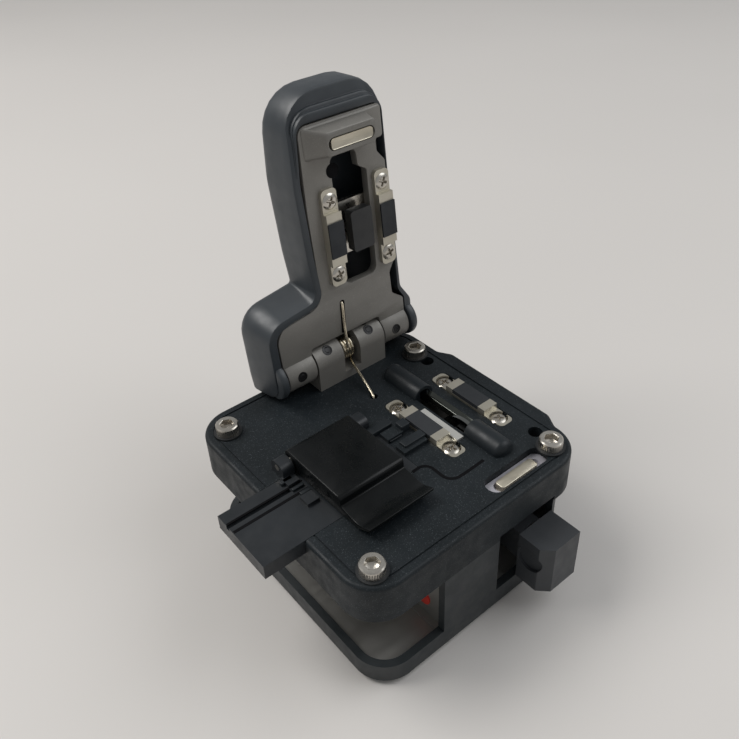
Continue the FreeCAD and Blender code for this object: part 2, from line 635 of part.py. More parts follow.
feet = []
for number, (x, y) in enumerate(feet_centres()):
    feet.append(primitive("Cylinder", "foot_%d" % number, x, y, "0",
                          Radius="foot_diameter / 2", Height="foot_rise + foot_depth"))
tray_screws = []
for number, (x, y) in enumerate(tray_screw_centres()):
    stem = primitive("Cylinder", "tray_stem_%d" % number, x, y, PAN_LOW + " + seat_gap * 2",
                     Radius="set_screw / 2", Height="tray_floor + chassis_floor / 2")
    socket = primitive("Prism", "tray_socket_%d" % number, x, y, PAN_LOW, Polygon=6,
                       Circumradius="set_screw / 4", Height="tray_floor / 2")
    tray_screws.append(joined("tray_screw_%d" % number, stem, [socket]))
keep(build_tray(), group("rubber_feet", feet), group("tray_screws", tray_screws))


# ---------------------------------------------------------------- chassis
def build_chassis():
    """Machined aluminium C: floor, upright web with the carriage's cavity, and a deck under the cover."""
    chassis = new_body("chassis")
    floor = box(*inset(TRAY_BOX, "tray_wall + seat_gap"))
    pad(chassis, "z", PAN_FLOOR, "chassis_floor", ("round", floor, "tray_corner - tray_wall"))
    front, back = floor[0][1], floor[2][1]
    web = box("-web_left", front, floor[1][0], back)
    pad(chassis, "z", FLOOR_TOP, COVER_LOW + " - (" + FLOOR_TOP + ")",
        ("round", web, "tray_corner - tray_wall", (1, 2)))
    deck = box(*["%scover_%s / 2 %s (skirt_wall + seat_gap)" % (sign, size, other)
                 for sign, size, other in (("-", "width", "+"), ("-", "depth", "+"), ("", "width", "-"),
                                           ("", "depth", "-"))])
    pad(chassis, "z", COVER_LOW, "skirt_height - cover_plate", ("round", deck, "cover_corner - skirt_wall"))
    # ledge along the foot of the web
    pocket(chassis, "z", FLOOR_TOP + " - ledge_rise", "ledge_rise",
           box("-tray_left", "-cover_depth", "-web_left - ledge_width", "cover_depth"))
    # cavity of the carriage, open towards the button, and the blade's slot above it
    cavity = box("blade_x - cavity_width / 2", "-cover_depth", "blade_x + cavity_width / 2", "cavity_back")
    pocket(chassis, "z", FLOOR_TOP, COVER_LOW + " - (" + FLOOR_TOP + ")",
           ("round", cavity, "slot_width / 2", (2, 3)))
    kerf = box("blade_x - slot_width / 2", "blade_home - blade_diameter / 2 - free_gap * 2",
               "blade_x + slot_width / 2", "blade_home + blade_travel + blade_diameter / 2 + free_gap * 2")
    pocket(chassis, "z", COVER_LOW, "skirt_height - cover_plate", kerf)
    # mouth for the button
    pocket(chassis, "y", front, "button_mouth",
           box("window_left", "rim_height", "window_right", COVER_LOW))
    # seat of the fixture bar, and clearance below the button's arch
    pocket(chassis, "z", "cover_top - fixture_thick", "fixture_thick - cover_plate",
           box("-cover_width", BAR_FRONT + " - seat_gap", "-fixture_inner + seat_gap", BAR_BACK + " + seat_gap"))
    hole(chassis, DECK + " - screw_length", "screw_length", "screw_shank / 2 + seat_gap", *SCREWS)
    hole(chassis, DECK + " - screw_length", "screw_length", "collector_tap / 2", *COLLECTOR)
    clamp_holes = [(x, "fibre_y %s clamp_screw_pitch / 2" % sign) for x in CLAMPS.values() for sign in "+-"]
    hole(chassis, DECK + " - clamp_screw_bite", "clamp_screw_bite", "clamp_screw_shank / 2 + seat_gap", *clamp_holes)
    hole(chassis, PAN_FLOOR, "chassis_floor * 2 / 3", "set_screw / 2 + seat_gap", *tray_screw_centres())
    return chassis


seal = primitive("Cylinder", "seal_dot", "-web_left", "seal_y", "seal_z", axis="x",
                 Radius="seal_size / 2", Height="seal_thick")
seal.setExpression("Placement.Base.x", bound("-web_left - seal_thick"))
seal.Label = "seal_dot"
keep(build_chassis(), seal)


# ---------------------------------------------------------------- cover screws and washers
cover_screws = []
washers = []
for number, (x, y) in enumerate(SCREWS):
    cover_screws.append(cap_screw("cover_screw_%d" % number, x, y, "cover_top + washer_thick", "screw_head",
                                  "screw_head_height", "screw_shank", "screw_length", "hex_key"))
    disc = primitive("Cylinder", "washer_disc_%d" % number, x, y, "cover_top",
                     Radius="washer_width / 2", Height="washer_thick")
    bore = primitive("Cylinder", "washer_bore_%d" % number, x, y, "cover_top",
                     Radius="screw_shank / 2 + seat_gap", Height="washer_thick")
    washers.append(joined("washer_%d" % number, disc, [bore]))
keep(group("cover_screws", cover_screws), group("cover_washers", washers))


# ---------------------------------------------------------------- magnet plate and its magnet
def build_magnet_plate():
    """Plate in the cover's front window, sunk below the top, with a slot for the bar magnet."""
    plate = new_body("magnet_plate")
    low = DECK
    height = "cover_plate - magnet_sink"
    outer = box("magnet_window_x - magnet_window / 2 + seat_gap", "magnet_y - magnet_window_width / 2 + seat_gap",
                "magnet_window_x + magnet_window / 2 - seat_gap", "magnet_y + magnet_window_width / 2 - seat_gap")
    pad(plate, "z", low, height, ("round", outer, "magnet_window_width / 2 - seat_gap * 2"))
    slot = box("magnet_x - magnet_length / 2 - seat_gap", "magnet_y - magnet_width / 2 - seat_gap",
               "magnet_x + magnet_length / 2 + seat_gap", "magnet_y + magnet_width / 2 + seat_gap")
    pocket(plate, "z", low, height, slot)
    return plate


magnet = primitive("Box", "base_magnet", "magnet_x - magnet_length / 2", "magnet_y - magnet_width / 2", DECK,
                   Length="magnet_length", Width="magnet_width", Height="magnet_height")
keep(build_magnet_plate(), magnet)


# ---------------------------------------------------------------- lower clamps
def build_clamp(name, x):
    """Nickel-plated clamp block: a low flange at each end, two raised jaws and a rubber pad's seat between."""
    clamp = new_body(name)
    half = "clamp_width / 2"
    end = "clamp_screw_pitch / 2 + clamp_end"
    jaw = "pad_length / 2 + jaw_length"
    height = FIBRE_Z + " - (" + DECK + ")"
    plan = box(x + " - " + half, "fibre_y - (%s)" % end, x + " + " + half, "fibre_y + " + end)
    pad(clamp, "z", DECK, "clamp_foot", ("round", plan, "window_round - free_gap"))
    pad(clamp, "z", DECK + " + clamp_foot", height + " - clamp_foot",
        box(x + " - " + half, "fibre_y - (%s)" % jaw, x + " + " + half, "fibre_y + " + jaw))
    pocket(clamp, "z", FIBRE_Z + " - pad_thick", "pad_thick",
           box(x + " - clamp_width", "fibre_y - pad_length / 2", x + " + clamp_width", "fibre_y + pad_length / 2"))
    screws = [(x, "fibre_y %s clamp_screw_pitch / 2" % sign) for sign in "+-"]
    hole(clamp, DECK, "clamp_foot", "clamp_screw_shank / 2 + seat_gap", *screws)
    hole(clamp, DECK + " + clamp_foot - clamp_head_sink", "clamp_head_sink", "clamp_screw_head / 2 + seat_gap * 2",
         *screws)
    return clamp


lower_pads = []
lower_screws = []
for side, x in CLAMPS.items():
    keep(build_clamp("lower_clamp_" + side, x))
    lower_pads.append(primitive("Box", "lower_pad_" + side, x + " - clamp_width / 2", "fibre_y - pad_length / 2",
                                FIBRE_Z + " - pad_thick", Length="clamp_width", Width="pad_length",
                                Height="pad_thick"))
    for number, sign in enumerate("+-"):
        y = "fibre_y %s clamp_screw_pitch / 2" % sign
        lower_screws.append(cap_screw("lower_screw_%s_%d" % (side, number), x, y,
                                      DECK + " + clamp_foot - clamp_head_sink", "clamp_screw_head",
                                      "clamp_head_height", "clamp_screw_shank",
                                      "clamp_foot - clamp_head_sink + clamp_screw_bite - seat_gap", "clamp_key"))
strip = primitive("Box", "ground_strip", "strip_x - strip_width / 2", "strip_y - strip_length / 2", "cover_top",
                  Length="strip_width", Width="strip_length", Height="strip_height")
keep(group("lower_pads", lower_pads), group("lower_clamp_screws", lower_screws), strip)


# ---------------------------------------------------------------- hinge bracket, pin and set screws
POSTS = {"left": "hinge_x - spring_room / 2 - post_width", "right": "hinge_x + spring_room / 2"}


def build_bracket():
    """Hinge bracket: a foot on the cover and two posts with round tops, bored for the pin."""
    bracket = new_body("hinge_bracket")
    low_x, high_x = POSTS["left"], POSTS["right"] + " + post_width"
    front, back = "hinge_y - knuckle_radius", "hinge_y + knuckle_radius"
    pad(bracket, "z", "cover_top", "post_foot", box(low_x, front, high_x, back))
    for x in POSTS.values():
        pad(bracket, "x", x, "post_width", box(front, "cover_top", back, PIN_Z))
        pad(bracket, "x", x, "post_width", ("circle", "hinge_y", PIN_Z, "knuckle_radius"))
    pocket(bracket, "x", low_x, "%s - (%s)" % (high_x, low_x), ("circle", "hinge_y", PIN_Z, "hinge_pin / 2 + seat_gap / 2"))
    centres = [(x + " + post_width / 2", "hinge_y") for x in POSTS.values()]
    hole(bracket, PIN_Z, "knuckle_radius", "set_screw / 2", *centres)
    return bracket


keep(build_bracket())
axle = primitive("Cylinder", "hinge_pin", "-cheek_near + cheek_thick + free_gap", "hinge_y", PIN_Z, axis="x",
                Radius="hinge_pin / 2", Height="cheek_reach + cheek_near - cheek_thick * 2 - free_gap * 2")
axle.Label = "hinge_pin"
bracket_screws = []
for number, x in enumerate(POSTS.values()):
    stem = primitive("Cylinder", "post_stem_%d" % number, x + " + post_width / 2", "hinge_y",
                     PIN_Z + " + hinge_pin / 2", Radius="set_screw / 2 - running_gap",
                     Height="knuckle_radius - hinge_pin / 2 - free_gap")
    socket = primitive("Prism", "post_socket_%d" % number, x + " + post_width / 2", "hinge_y",
                       PIN_Z + " + (hinge_pin / 2 + knuckle_radius) / 2", Polygon=6,
                       Circumradius="set_screw / 4", Height="knuckle_radius / 2")
    bracket_screws.append(joined("bracket_screw_%d" % number, stem, [socket]))
keep(axle, group("bracket_set_screws", bracket_screws))


def build_spring():
    """Torsion spring round the pin: a close coil with one leg down to the cover and one along the lever."""
    wire = num("spring_wire")
    radius = num("spring_coil")
    turns = num("spring_turns")
    pitch = (num("spring_room") - wire - 2 * num("free_gap")) / turns
    coil_start = num("hinge_x") - pitch * turns / 2
    helix = Part.makeHelix(pitch, pitch * turns, radius)
    section = Part.Wire([Part.Circle(FreeCAD.Vector(radius, 0, 0), FreeCAD.Vector(0, 1, 0), wire / 2).toShape()])
    coil = Part.Wire(helix).makePipeShell([section], True, True)
    coil.rotate(FreeCAD.Vector(), FreeCAD.Vector(0, 1, 0), 90)
    coil.translate(FreeCAD.Vector(coil_start, num("hinge_y"), num(PIN_Z)))
    return coil


spring = doc.addObject("Part::Feature", "torsion_spring")
spring.Label = "torsion_spring"
spring.Shape = build_spring()
keep(spring)


# ---------------------------------------------------------------- lever, drawn closed about the hinge axis
FACE = "-face_drop"
FRAME_BACK = "-face_drop + frame_thick"
SHELL_TOP = "-face_drop + lever_thick"
UPPER_PAD = "-(hinge_rise - fibre_rise - running_gap)"
FIBRE_R = "fibre_y - hinge_y"


def build_shell():
    """Moulded lever cover: a long narrow hood with a shoulder and two cheeks that close the hinge's ends."""
    shell = new_body("lever_shell")
    tip = "-lever_reach"
    outline = [("lever_left", tip), ("lever_right", tip), ("lever_right", "-shoulder_top"),
               ("cheek_reach", "-shoulder_top / 2"), ("cheek_reach", "shell_back"),
               ("-cheek_near", "shell_back"), ("-cheek_near", "-shoulder_top"), ("lever_left", "-shoulder_end")]
    pad(shell, "z", FACE, "lever_thick", outline)
    corners(shell, "Fillet", "lever_tip_round", "z", [outline[0], outline[1], outline[6], outline[7]])
    corners(shell, "Fillet", "lever_tip_round", "z", [outline[2], outline[3]])
    rim(shell, "Fillet", "lever_back_round", "z", SHELL_TOP)
    rest = "-frame_reach - seat_gap"
    hollow = [("lever_left + lever_wall", rest), ("lever_right - lever_wall_right", rest),
              ("lever_right - lever_wall_right", "-shoulder_top + lever_wall_right"),
              ("cheek_reach - cheek_thick", "-shoulder_top / 2 + lever_wall_right"),
              ("cheek_reach - cheek_thick", "shell_back * 2"), ("-cheek_near + cheek_thick", "shell_back * 2"),
              ("-cheek_near + cheek_thick", "-shoulder_top + lever_wall"),
              ("lever_left + lever_wall", "-shoulder_end + lever_wall / 2")]
    pocket(shell, "z", FACE, "lever_thick - lever_wall", hollow)
    corners(shell, "Fillet", "lever_tip_round - lever_wall", "z", hollow[:2])
    corners(shell, "Fillet", "shell_back - free_gap", "x", [("shell_back", FACE)])
    for step in range(3):
        start = "%s + grip_pitch * %g" % (tip, step + 0.4)
        pocket(shell, "z", FACE, "grip_depth",
               box("-cover_width", start, "cover_width", start + " + grip_pitch / 2"))
    place_on_lever(shell)
    return shell


KNUCKLES = {"near": ("-cheek_near + cheek_thick + free_gap", POSTS["left"] + " - free_gap"),
            "far": (POSTS["right"] + " + post_width + free_gap", "cheek_reach - cheek_thick - free_gap")}


def build_frame():
    """Lever frame: a plate with two hinge knuckles, the anvil's window and the raised magnet block."""
    frame = new_body("lever_frame")
    left, right = "lever_left + lever_wall + seat_gap", "lever_right - lever_wall_right - seat_gap"
    near, far = KNUCKLES["near"], KNUCKLES["far"]
    outline = [(left, "-frame_reach"), (right, "-frame_reach"), (right, "-shoulder_top + lever_wall_right"),
               (far[1], "-shoulder_top / 2"), (far[1], "-frame_start"), (near[0], "-frame_start"),
               (near[0], "-shoulder_top + lever_wall"), (left, "-shoulder_end + lever_wall / 2")]
    pad(frame, "z", FACE, "frame_thick", outline)
    corners(frame, "Fillet", "lever_tip_round - lever_wall", "z", outline[:2])
    for low, high in (near, far):
        pad(frame, "z", FACE, "frame_thick", box(low, "-shoulder_top / 2", high, "0"))
        pad(frame, "x", low, "%s - (%s)" % (high, low), ("circle", "0", "0", "knuckle_radius"))
    pocket(frame, "x", near[0], "%s - (%s)" % (far[1], near[0]),
           ("circle", "0", "0", "hinge_pin / 2 + running_gap"))
    for low, high in (near, far):
        hole(frame, "-knuckle_radius", "knuckle_radius", "set_screw / 2", ("(%s + %s) / 2" % (low, high), "0"))
    window = [("frame_window_left", "-frame_window_front"), ("frame_window_right - 3", "-frame_window_front"),
              ("frame_window_right", "-frame_window_front + 6"), ("frame_window_right", "-frame_window_back"),
              ("frame_window_left", "-frame_window_back")]
    pocket(frame, "z", FACE, "frame_thick", window)
    corners(frame, "Fillet", "window_round", "z", window)
    # block that carries the closing magnet
    low = "-hinge_rise + magnet_clear"
    block = box("lever_magnet_left", "-lever_magnet_front", "lever_magnet_right", "-lever_magnet_back")
    pad(frame, "z", low, FACE + " - (" + low + ")", block)
    corners(frame, "Chamfer", "block_bevel", "z", [block[0], block[1]], low, FACE)
    slot = box("magnet_x - magnet_length / 2 - seat_gap", "magnet_y - hinge_y - magnet_width / 2 - seat_gap",
               "magnet_x + magnet_length / 2 + seat_gap", "magnet_y - hinge_y + magnet_width / 2 + seat_gap")
    pocket(frame, "z", low, "magnet_height + seat_gap", slot)
    place_on_lever(frame)
    return frame


def build_knuckle_screws():
    """A set screw in each knuckle, let in from the side that faces the button when the lever stands open."""
    members = []
    for number, (low, high) in enumerate(KNUCKLES.values()):
        middle = "(%s + %s) / 2" % (low, high)
        stem = primitive("Cylinder", "knuckle_stem_%d" % number, middle, "0", "-knuckle_radius + free_gap",
                         Radius="set_screw / 2 - running_gap",
                         Height="knuckle_radius - hinge_pin / 2 - free_gap * 2")
        socket = primitive("Prism", "knuckle_socket_%d" % number, middle, "0", "-knuckle_radius",
                           Polygon=6, Circumradius="set_screw / 4", Height="knuckle_radius / 3")
        members.append(joined("knuckle_screw_%d" % number, stem, [socket]))
    screws = group("knuckle_set_screws", members)
    place_on_lever(screws)
    return screws


def build_upper_clamp(name, x):
    """Upper clamp block under the lever: flange, two jaws and the seat of its rubber pad."""
    clamp = new_body(name)
    end = "clamp_screw_pitch / 2 + clamp_end"
    jaw = "pad_length / 2 + jaw_length"
    half = "clamp_width / 2"
    plan = box(x + " - " + half, FIBRE_R + " - (%s)" % end, x + " + " + half, FIBRE_R + " + " + end)
    pad(clamp, "z", FACE + " - upper_flange", "upper_flange", ("round", plan, "window_round - free_gap"))
    pad(clamp, "z", FACE + " - upper_jaw", "upper_jaw - upper_flange",
        box(x + " - " + half, FIBRE_R + " - (%s)" % jaw, x + " + " + half, FIBRE_R + " + " + jaw))
    screws = [(x, FIBRE_R + " %s clamp_screw_pitch / 2" % sign) for sign in "+-"]
    hole(clamp, FACE + " - upper_flange", "upper_flange", "clamp_screw_shank / 2 + seat_gap", *screws)
    place_on_lever(clamp)
    return clamp


def to_lever(part):
    """Move a primitive drawn in the lever's closed frame onto the open lever."""
    base = part.Placement
    holder = doc.addObject("Part::Compound", part.Name + "_seat")
    holder.Links = [part]
    place_on_lever(holder)
    return holder


upper_pads = []
upper_screws = []
for side, x in CLAMPS.items():
    keep(build_upper_clamp("upper_clamp_" + side, x))
    upper_pads.append(primitive("Box", "upper_pad_" + side, x + " - clamp_width / 2", FIBRE_R + " - pad_length / 2",
                                UPPER_PAD, Length="clamp_width", Width="pad_length",
                                Height=FACE + " - upper_jaw - (" + UPPER_PAD + ")"))
    for number, sign in enumerate("+-"):
        y = FIBRE_R + " %s clamp_screw_pitch / 2" % sign
        top = primitive("Cylinder", "upper_head_%s_%d" % (side, number), x, y,
                        FACE + " - upper_flange - clamp_head_height / 2", Radius="clamp_screw_head / 2",
                        Height="clamp_head_height / 2")
        stem = primitive("Cylinder", "upper_stem_%s_%d" % (side, number), x, y, FACE + " - upper_flange",
                         Radius="clamp_screw_shank / 2", Height="upper_flange")
        upper_screws.append(joined("upper_screw_%s_%d" % (side, number), top, [stem], "MultiFuse"))
for piece in (group("upper_pads", upper_pads), group("upper_clamp_screws", upper_screws)):
    place_on_lever(piece)
    keep(piece)
lever_magnet = primitive("Box", "lever_magnet", "magnet_x - magnet_length / 2", "0", "0",
                         Length="magnet_length", Width="magnet_width", Height="magnet_height")
magnet_seat = group("lever_magnet_bar", [lever_magnet])
lever_magnet.setExpression("Placement.Base.y", bound("magnet_y - hinge_y - magnet_width / 2"))
lever_magnet.setExpression("Placement.Base.z", bound("-hinge_rise + magnet_clear + seat_gap"))
place_on_lever(magnet_seat)
keep(build_shell(), build_frame(), magnet_seat, build_knuckle_screws())


# ---------------------------------------------------------------- anvil that bends the fibre over the cut
ANVIL_LOW = "-hinge_rise + blade_peak + anvil_clear"
ANVIL_TOP = ANVIL_LOW + " + anvil_height"


def build_bridge():
    """Bridge over the frame's window, bored for the anvil's stem."""
    bridge = new_body("anvil_bridge")
    pad(bridge, "z", FRAME_BACK, "bridge_thick",
        box("blade_x - bridge_width / 2", FIBRE_R + " - bridge_length / 2", "blade_x + bridge_width / 2",
            FIBRE_R + " + bridge_length / 2"))
    hole(bridge, FRAME_BACK, "bridge_thick", "anvil_stem / 2 + running_gap", ("blade_x", FIBRE_R))
    place_on_lever(bridge)
    return bridge


def build_anvil():
    """Anvil: a shoe with a rounded foot and a stem that slides in the bridge."""
    anvil = new_body("anvil")
    shoe = box("blade_x - anvil_width / 2", FIBRE_R + " - anvil_length / 2", "blade_x + anvil_width / 2",
               FIBRE_R + " + anvil_length / 2")
    pad(anvil, "z", ANVIL_LOW, "anvil_height", ("round", shoe, "window_round / 2"))
    pad(anvil, "z", ANVIL_TOP, "anvil_stem_length", ("circle", "blade_x", FIBRE_R, "anvil_stem / 2"))
    place_on_lever(anvil)
    return anvil


keep(build_bridge(), build_anvil())


# ---------------------------------------------------------------- guide rail, carriage, blade and button
def build_rail():
    """Guide rail on the chassis floor."""
    rail = new_body("guide_rail")
    plan = box("blade_x - rail_width / 2", "-rail_front", "blade_x + rail_width / 2", "rail_back")
    pad(rail, "z", FLOOR_TOP, "rail_height", plan)
    centres = [("blade_x", "-rail_front + rail_width"), ("blade_x", "rail_back - rail_width")]
    hole(rail, FLOOR_TOP, "rail_height", "set_screw / 2", *centres)
    return rail


CARRIAGE_TOP = COVER_LOW + " - carriage_gap"


def build_carriage():
    """Blade carriage: a block that straddles the rail, with two cheeks rising through the deck's slot."""
    carriage = new_body("blade_carriage")
    front = "blade_home - carriage_front"
    low = FLOOR_TOP + " + carriage_low"
    pad(carriage, "z", low, CARRIAGE_TOP + " - (" + low + ")",
        box("blade_x - carriage_width / 2", front, "blade_x + carriage_width / 2", front + " + carriage_length"))
    cheeks = box("blade_x - blade_thick / 2 - free_gap - cheek_width", "blade_home - cheek_length / 2",
                 "blade_x + blade_thick / 2 + free_gap + cheek_width", "blade_home + cheek_length / 2")
    top = "cover_top - cheek_drop"
    pad(carriage, "z", CARRIAGE_TOP, DECK + " - free_gap - (" + CARRIAGE_TOP + ")", cheeks)
    tips = box(cheeks[0][0], "blade_home - cheek_tip / 2", cheeks[1][0], "blade_home + cheek_tip / 2")
    pad(carriage, "z", DECK + " - free_gap", top + " - (" + DECK + " - free_gap)", tips)
    groove = box("blade_x - rail_width / 2 - running_gap", front, "blade_x + rail_width / 2 + running_gap",
                 front + " + carriage_length")
    pocket(carriage, "z", low, "rail_height - carriage_low + running_gap", groove)
    kerf = box("blade_x - blade_thick / 2 - free_gap", "blade_home - blade_diameter / 2 - free_gap",
               "blade_x + blade_thick / 2 + free_gap", "blade_home + blade_diameter / 2 + free_gap")
    kerf_low = BLADE_Z + " - blade_diameter / 2 - free_gap"
    pocket(carriage, "z", kerf_low, top + " - (" + kerf_low + ")", kerf)
    pocket(carriage, "x", "blade_x - carriage_width / 2", "carriage_width",
           ("circle", "blade_home", BLADE_Z, "blade_bore / 2"))
    return carriage


bolt = primitive("Cylinder", "blade_axle", "blade_x - blade_thick / 2 - free_gap - cheek_width", "blade_home",
                 BLADE_Z, axis="x", Radius="blade_bore / 2 - running_gap",
                 Height="blade_thick + free_gap * 2 + cheek_width * 2")
disc = primitive("Cylinder", "blade_disc", "blade_x - blade_thick / 2", "blade_home", BLADE_Z, axis="x",
                 Radius="blade_diameter / 2", Height="blade_thick")
bore = primitive("Cylinder", "blade_bore_tool", "blade_x - blade_thick / 2", "blade_home", BLADE_Z, axis="x",
                 Radius="blade_bore / 2", Height="blade_thick")
wheel = joined("blade_wheel", disc, [bore])


def build_button():
    """Push button: a block with a bevelled upright edge, a round recess and a neck to the carriage."""
    button = new_body("push_button")
    low_x, high_x = "button_x - button_width / 2", "button_x + button_width / 2"
    back = "-button_reach + button_depth"
    block = box(low_x, "-button_reach", high_x, back)
    pad(button, "z", "button_low", "button_height", block)
    corners(button, "Chamfer", "button_bevel", "z", [block[0]])
    pocket(button, "x", low_x, "dimple_depth",
           ("circle", "-button_reach + button_depth * 0.6", "button_low + button_height * 0.6", "button_dimple / 2"))
    neck = box("button_x - neck_width / 2", back, "button_x + neck_width / 2", "blade_home - carriage_front")
    pad(button, "z", FLOOR_TOP + " + rail_height + free_gap", "neck_height", neck)
    return button


keep(build_rail(), build_carriage(), bolt, wheel, build_button())


# ---------------------------------------------------------------- fixture bar, lid and lid pin
LID_PIN_Z = "cover_top + lid_hinge_rise"
EARS = {"left": "-lid_left - free_gap - ear_width", "right": "-lid_left + lid_width + free_gap"}


def build_bar():
    """Fixture bar in the cover's channel: fibre groove, raised ribs and two ears for the lid's pin."""
    bar = new_body("fixture_bar")
    plan = box("-fixture_reach", BAR_FRONT, "-fixture_inner", BAR_BACK)
    pad(bar, "z", "cover_top - fixture_thick", "fixture_thick", plan)
    pocket(bar, "z", "cover_top - fixture_groove", "fixture_groove",
           box("-fixture_reach", "-fixture_slot_low", "-fixture_slot_end", "fixture_slot_high"))
    for low, high in (("fixture_slot_high", "fixture_slot_high + rib_length"),
                      ("-fixture_slot_low - rib_length * 2", "-fixture_slot_low - rib_length")):
        pad(bar, "z", "cover_top", "rib_rise", box("-fixture_slot_end", low, "-fixture_slot_end + rib_length", high))
    for x in EARS.values():
        foot = box(x, "ear_front", x + " + ear_width", BAR_BACK)
        pad(bar, "z", "cover_top", "ear_height", foot)
        pad(bar, "z", "cover_top + seat_gap", "ear_height - seat_gap", box(x, BAR_BACK, x + " + ear_width", "ear_back"))
        corners(bar, "Fillet", "lid_pin", "x", [("ear_front", "cover_top + ear_height"),
                                                ("ear_back", "cover_top + ear_height")])
    first = EARS["left"]
    pocket(bar, "x", first, "%s + ear_width - (%s)" % (EARS["right"], first),
           ("circle", "lid_hinge_y", LID_PIN_Z, "lid_pin / 2"))
    return bar


def build_lid():
    """Fixture lid, drawn about its pin: barrel, flat top with a rounded front, and an upturned finger tab."""
    lid = new_body("fixture_lid")
    low = "lid_floor - lid_hinge_rise"
    top = "lid_height - lid_hinge_rise"
    tab = "tab_top - lid_hinge_rise"
    front = "-lid_front - lid_hinge_y"
    tip = "-lid_tip - lid_hinge_y"
    profile = [("0", low), ("0", top), (front + " + 1.6", top), (front, tab), (tip + " + 1.5", tab),
               (tip, tab + " + 0.6"), (tip, tab + " - tab_thick + 0.6"), (front + " + 2", tab + " - tab_thick"),
               (front + " + 2", low)]
    pad(lid, "x", "-lid_left", "lid_width", profile)
    pad(lid, "x", "-lid_left", "lid_width", ("circle", "0", "0", "lid_barrel"))
    pocket(lid, "x", "-lid_left", "lid_width", ("circle", "0", "0", "lid_pin / 2 + running_gap"))
    corners(lid, "Fillet", "window_round", "x", [(front + " + 1.6", top)])
    pad_middle = "(fixture_slot_low / 2 - lid_hinge_y)"
    pocket(lid, "z", low, "lid_pad_thick",
           box("-lid_left + ear_width", pad_middle + " - lid_pad_width / 2", "-lid_left + lid_width - ear_width",
               pad_middle + " + lid_pad_width / 2"))
    place(lid, "0", "lid_hinge_y", LID_PIN_Z)
    return lid


lid_pad = primitive("Box", "lid_pad", "-lid_left + ear_width", "fibre_y + lid_pad_width / 2 - lid_hinge_y",
                    "lid_floor - lid_hinge_rise", Length="lid_width - ear_width * 2", Width="lid_pad_width",
                    Height="lid_pad_thick")
lid_pad.setExpression("Placement.Base.y", bound("fixture_slot_low / 2 - lid_pad_width / 2"))
lid_pad.setExpression("Placement.Base.z", bound("cover_top + lid_floor"))
lid_pin = primitive("Cylinder", "lid_pin", EARS["left"], "lid_hinge_y", LID_PIN_Z, axis="x",
                    Radius="lid_pin / 2 - running_gap / 2",
                    Height="%s + ear_width - (%s)" % (EARS["right"], EARS["left"]))
keep(build_bar(), build_lid(), lid_pad, lid_pin)


# ---------------------------------------------------------------- checks and export
doc.recompute()
for item in doc.Objects:
    if "Invalid" in item.State or "Error" in item.State:
        raise RuntimeError("%s failed: %s" % (item.Name, item.State))
for node in nodes:
    if node.Shape.isNull() or not node.Shape.isValid():
        raise RuntimeError("%s has no valid shape" % node.Label)
os.makedirs("parts", exist_ok=True)
for node in nodes:
    node.Shape.exportStep("parts/%s.step" % node.Label)
print("%d pieces written" % len(nodes))
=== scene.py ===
import math

import bmesh
import bpy
import numpy as np
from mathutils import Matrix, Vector


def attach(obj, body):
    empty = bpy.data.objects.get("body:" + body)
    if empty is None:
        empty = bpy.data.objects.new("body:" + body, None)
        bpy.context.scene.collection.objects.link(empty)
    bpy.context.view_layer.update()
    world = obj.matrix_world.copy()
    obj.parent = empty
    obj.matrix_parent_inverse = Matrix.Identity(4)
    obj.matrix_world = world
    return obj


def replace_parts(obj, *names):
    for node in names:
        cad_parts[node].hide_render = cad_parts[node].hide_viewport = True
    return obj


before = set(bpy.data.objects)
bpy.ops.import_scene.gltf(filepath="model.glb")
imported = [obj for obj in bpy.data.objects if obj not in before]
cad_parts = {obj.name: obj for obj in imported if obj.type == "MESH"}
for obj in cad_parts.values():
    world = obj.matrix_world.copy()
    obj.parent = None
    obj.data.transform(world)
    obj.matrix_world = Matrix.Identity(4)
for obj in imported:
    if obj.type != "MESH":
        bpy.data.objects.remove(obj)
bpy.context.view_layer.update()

# ------------------------------------------------------------------ camera
# The view looks down at 35 degrees onto the corner between the button side and the fixture side,
# from about 200 mm away, with a slight roll.
camera_data = bpy.data.cameras.new("camera")
camera_data.sensor_width = 36.0
camera_data.lens = 39.11
camera_data.shift_x = 0.0037
camera_data.shift_y = -0.0459
camera_data.clip_start = 0.01
camera = bpy.data.objects.new("camera", camera_data)
bpy.context.scene.collection.objects.link(camera)
camera.location = (-0.0850, -0.1061, 0.1576)
camera.rotation_euler = [math.radians(turn) for turn in (54.574, 2.437, -39.305)]
bpy.context.scene.camera = camera


# ------------------------------------------------------------------ tray
# The tray is a black moulding with a fine satin grain. It is one piece: floor, low rim round the
# open bay, and the full wall round the chassis.
def new_material(name, metallic=0.0, specular=0.5):
    """An empty material: its tree, its shader and a place to add nodes."""
    material = bpy.data.materials.new(name)
    material.use_nodes = True
    shader = material.node_tree.nodes["Principled BSDF"]
    shader.inputs["Metallic"].default_value = metallic
    shader.inputs["Specular IOR Level"].default_value = specular
    return material, material.node_tree, shader


def noise(tree, scale, detail=3.0, stretch=(1, 1, 1)):
    """Noise over the object's own coordinates, scale in cells per metre along each axis."""
    place = tree.nodes.new("ShaderNodeTexCoord")
    mapping = tree.nodes.new("ShaderNodeMapping")
    mapping.inputs["Scale"].default_value = stretch
    cloud = tree.nodes.new("ShaderNodeTexNoise")
    cloud.inputs["Scale"].default_value = scale
    cloud.inputs["Detail"].default_value = detail
    tree.links.new(place.outputs["Object"], mapping.inputs["Vector"])
    tree.links.new(mapping.outputs["Vector"], cloud.inputs["Vector"])
    return cloud.outputs["Fac"]


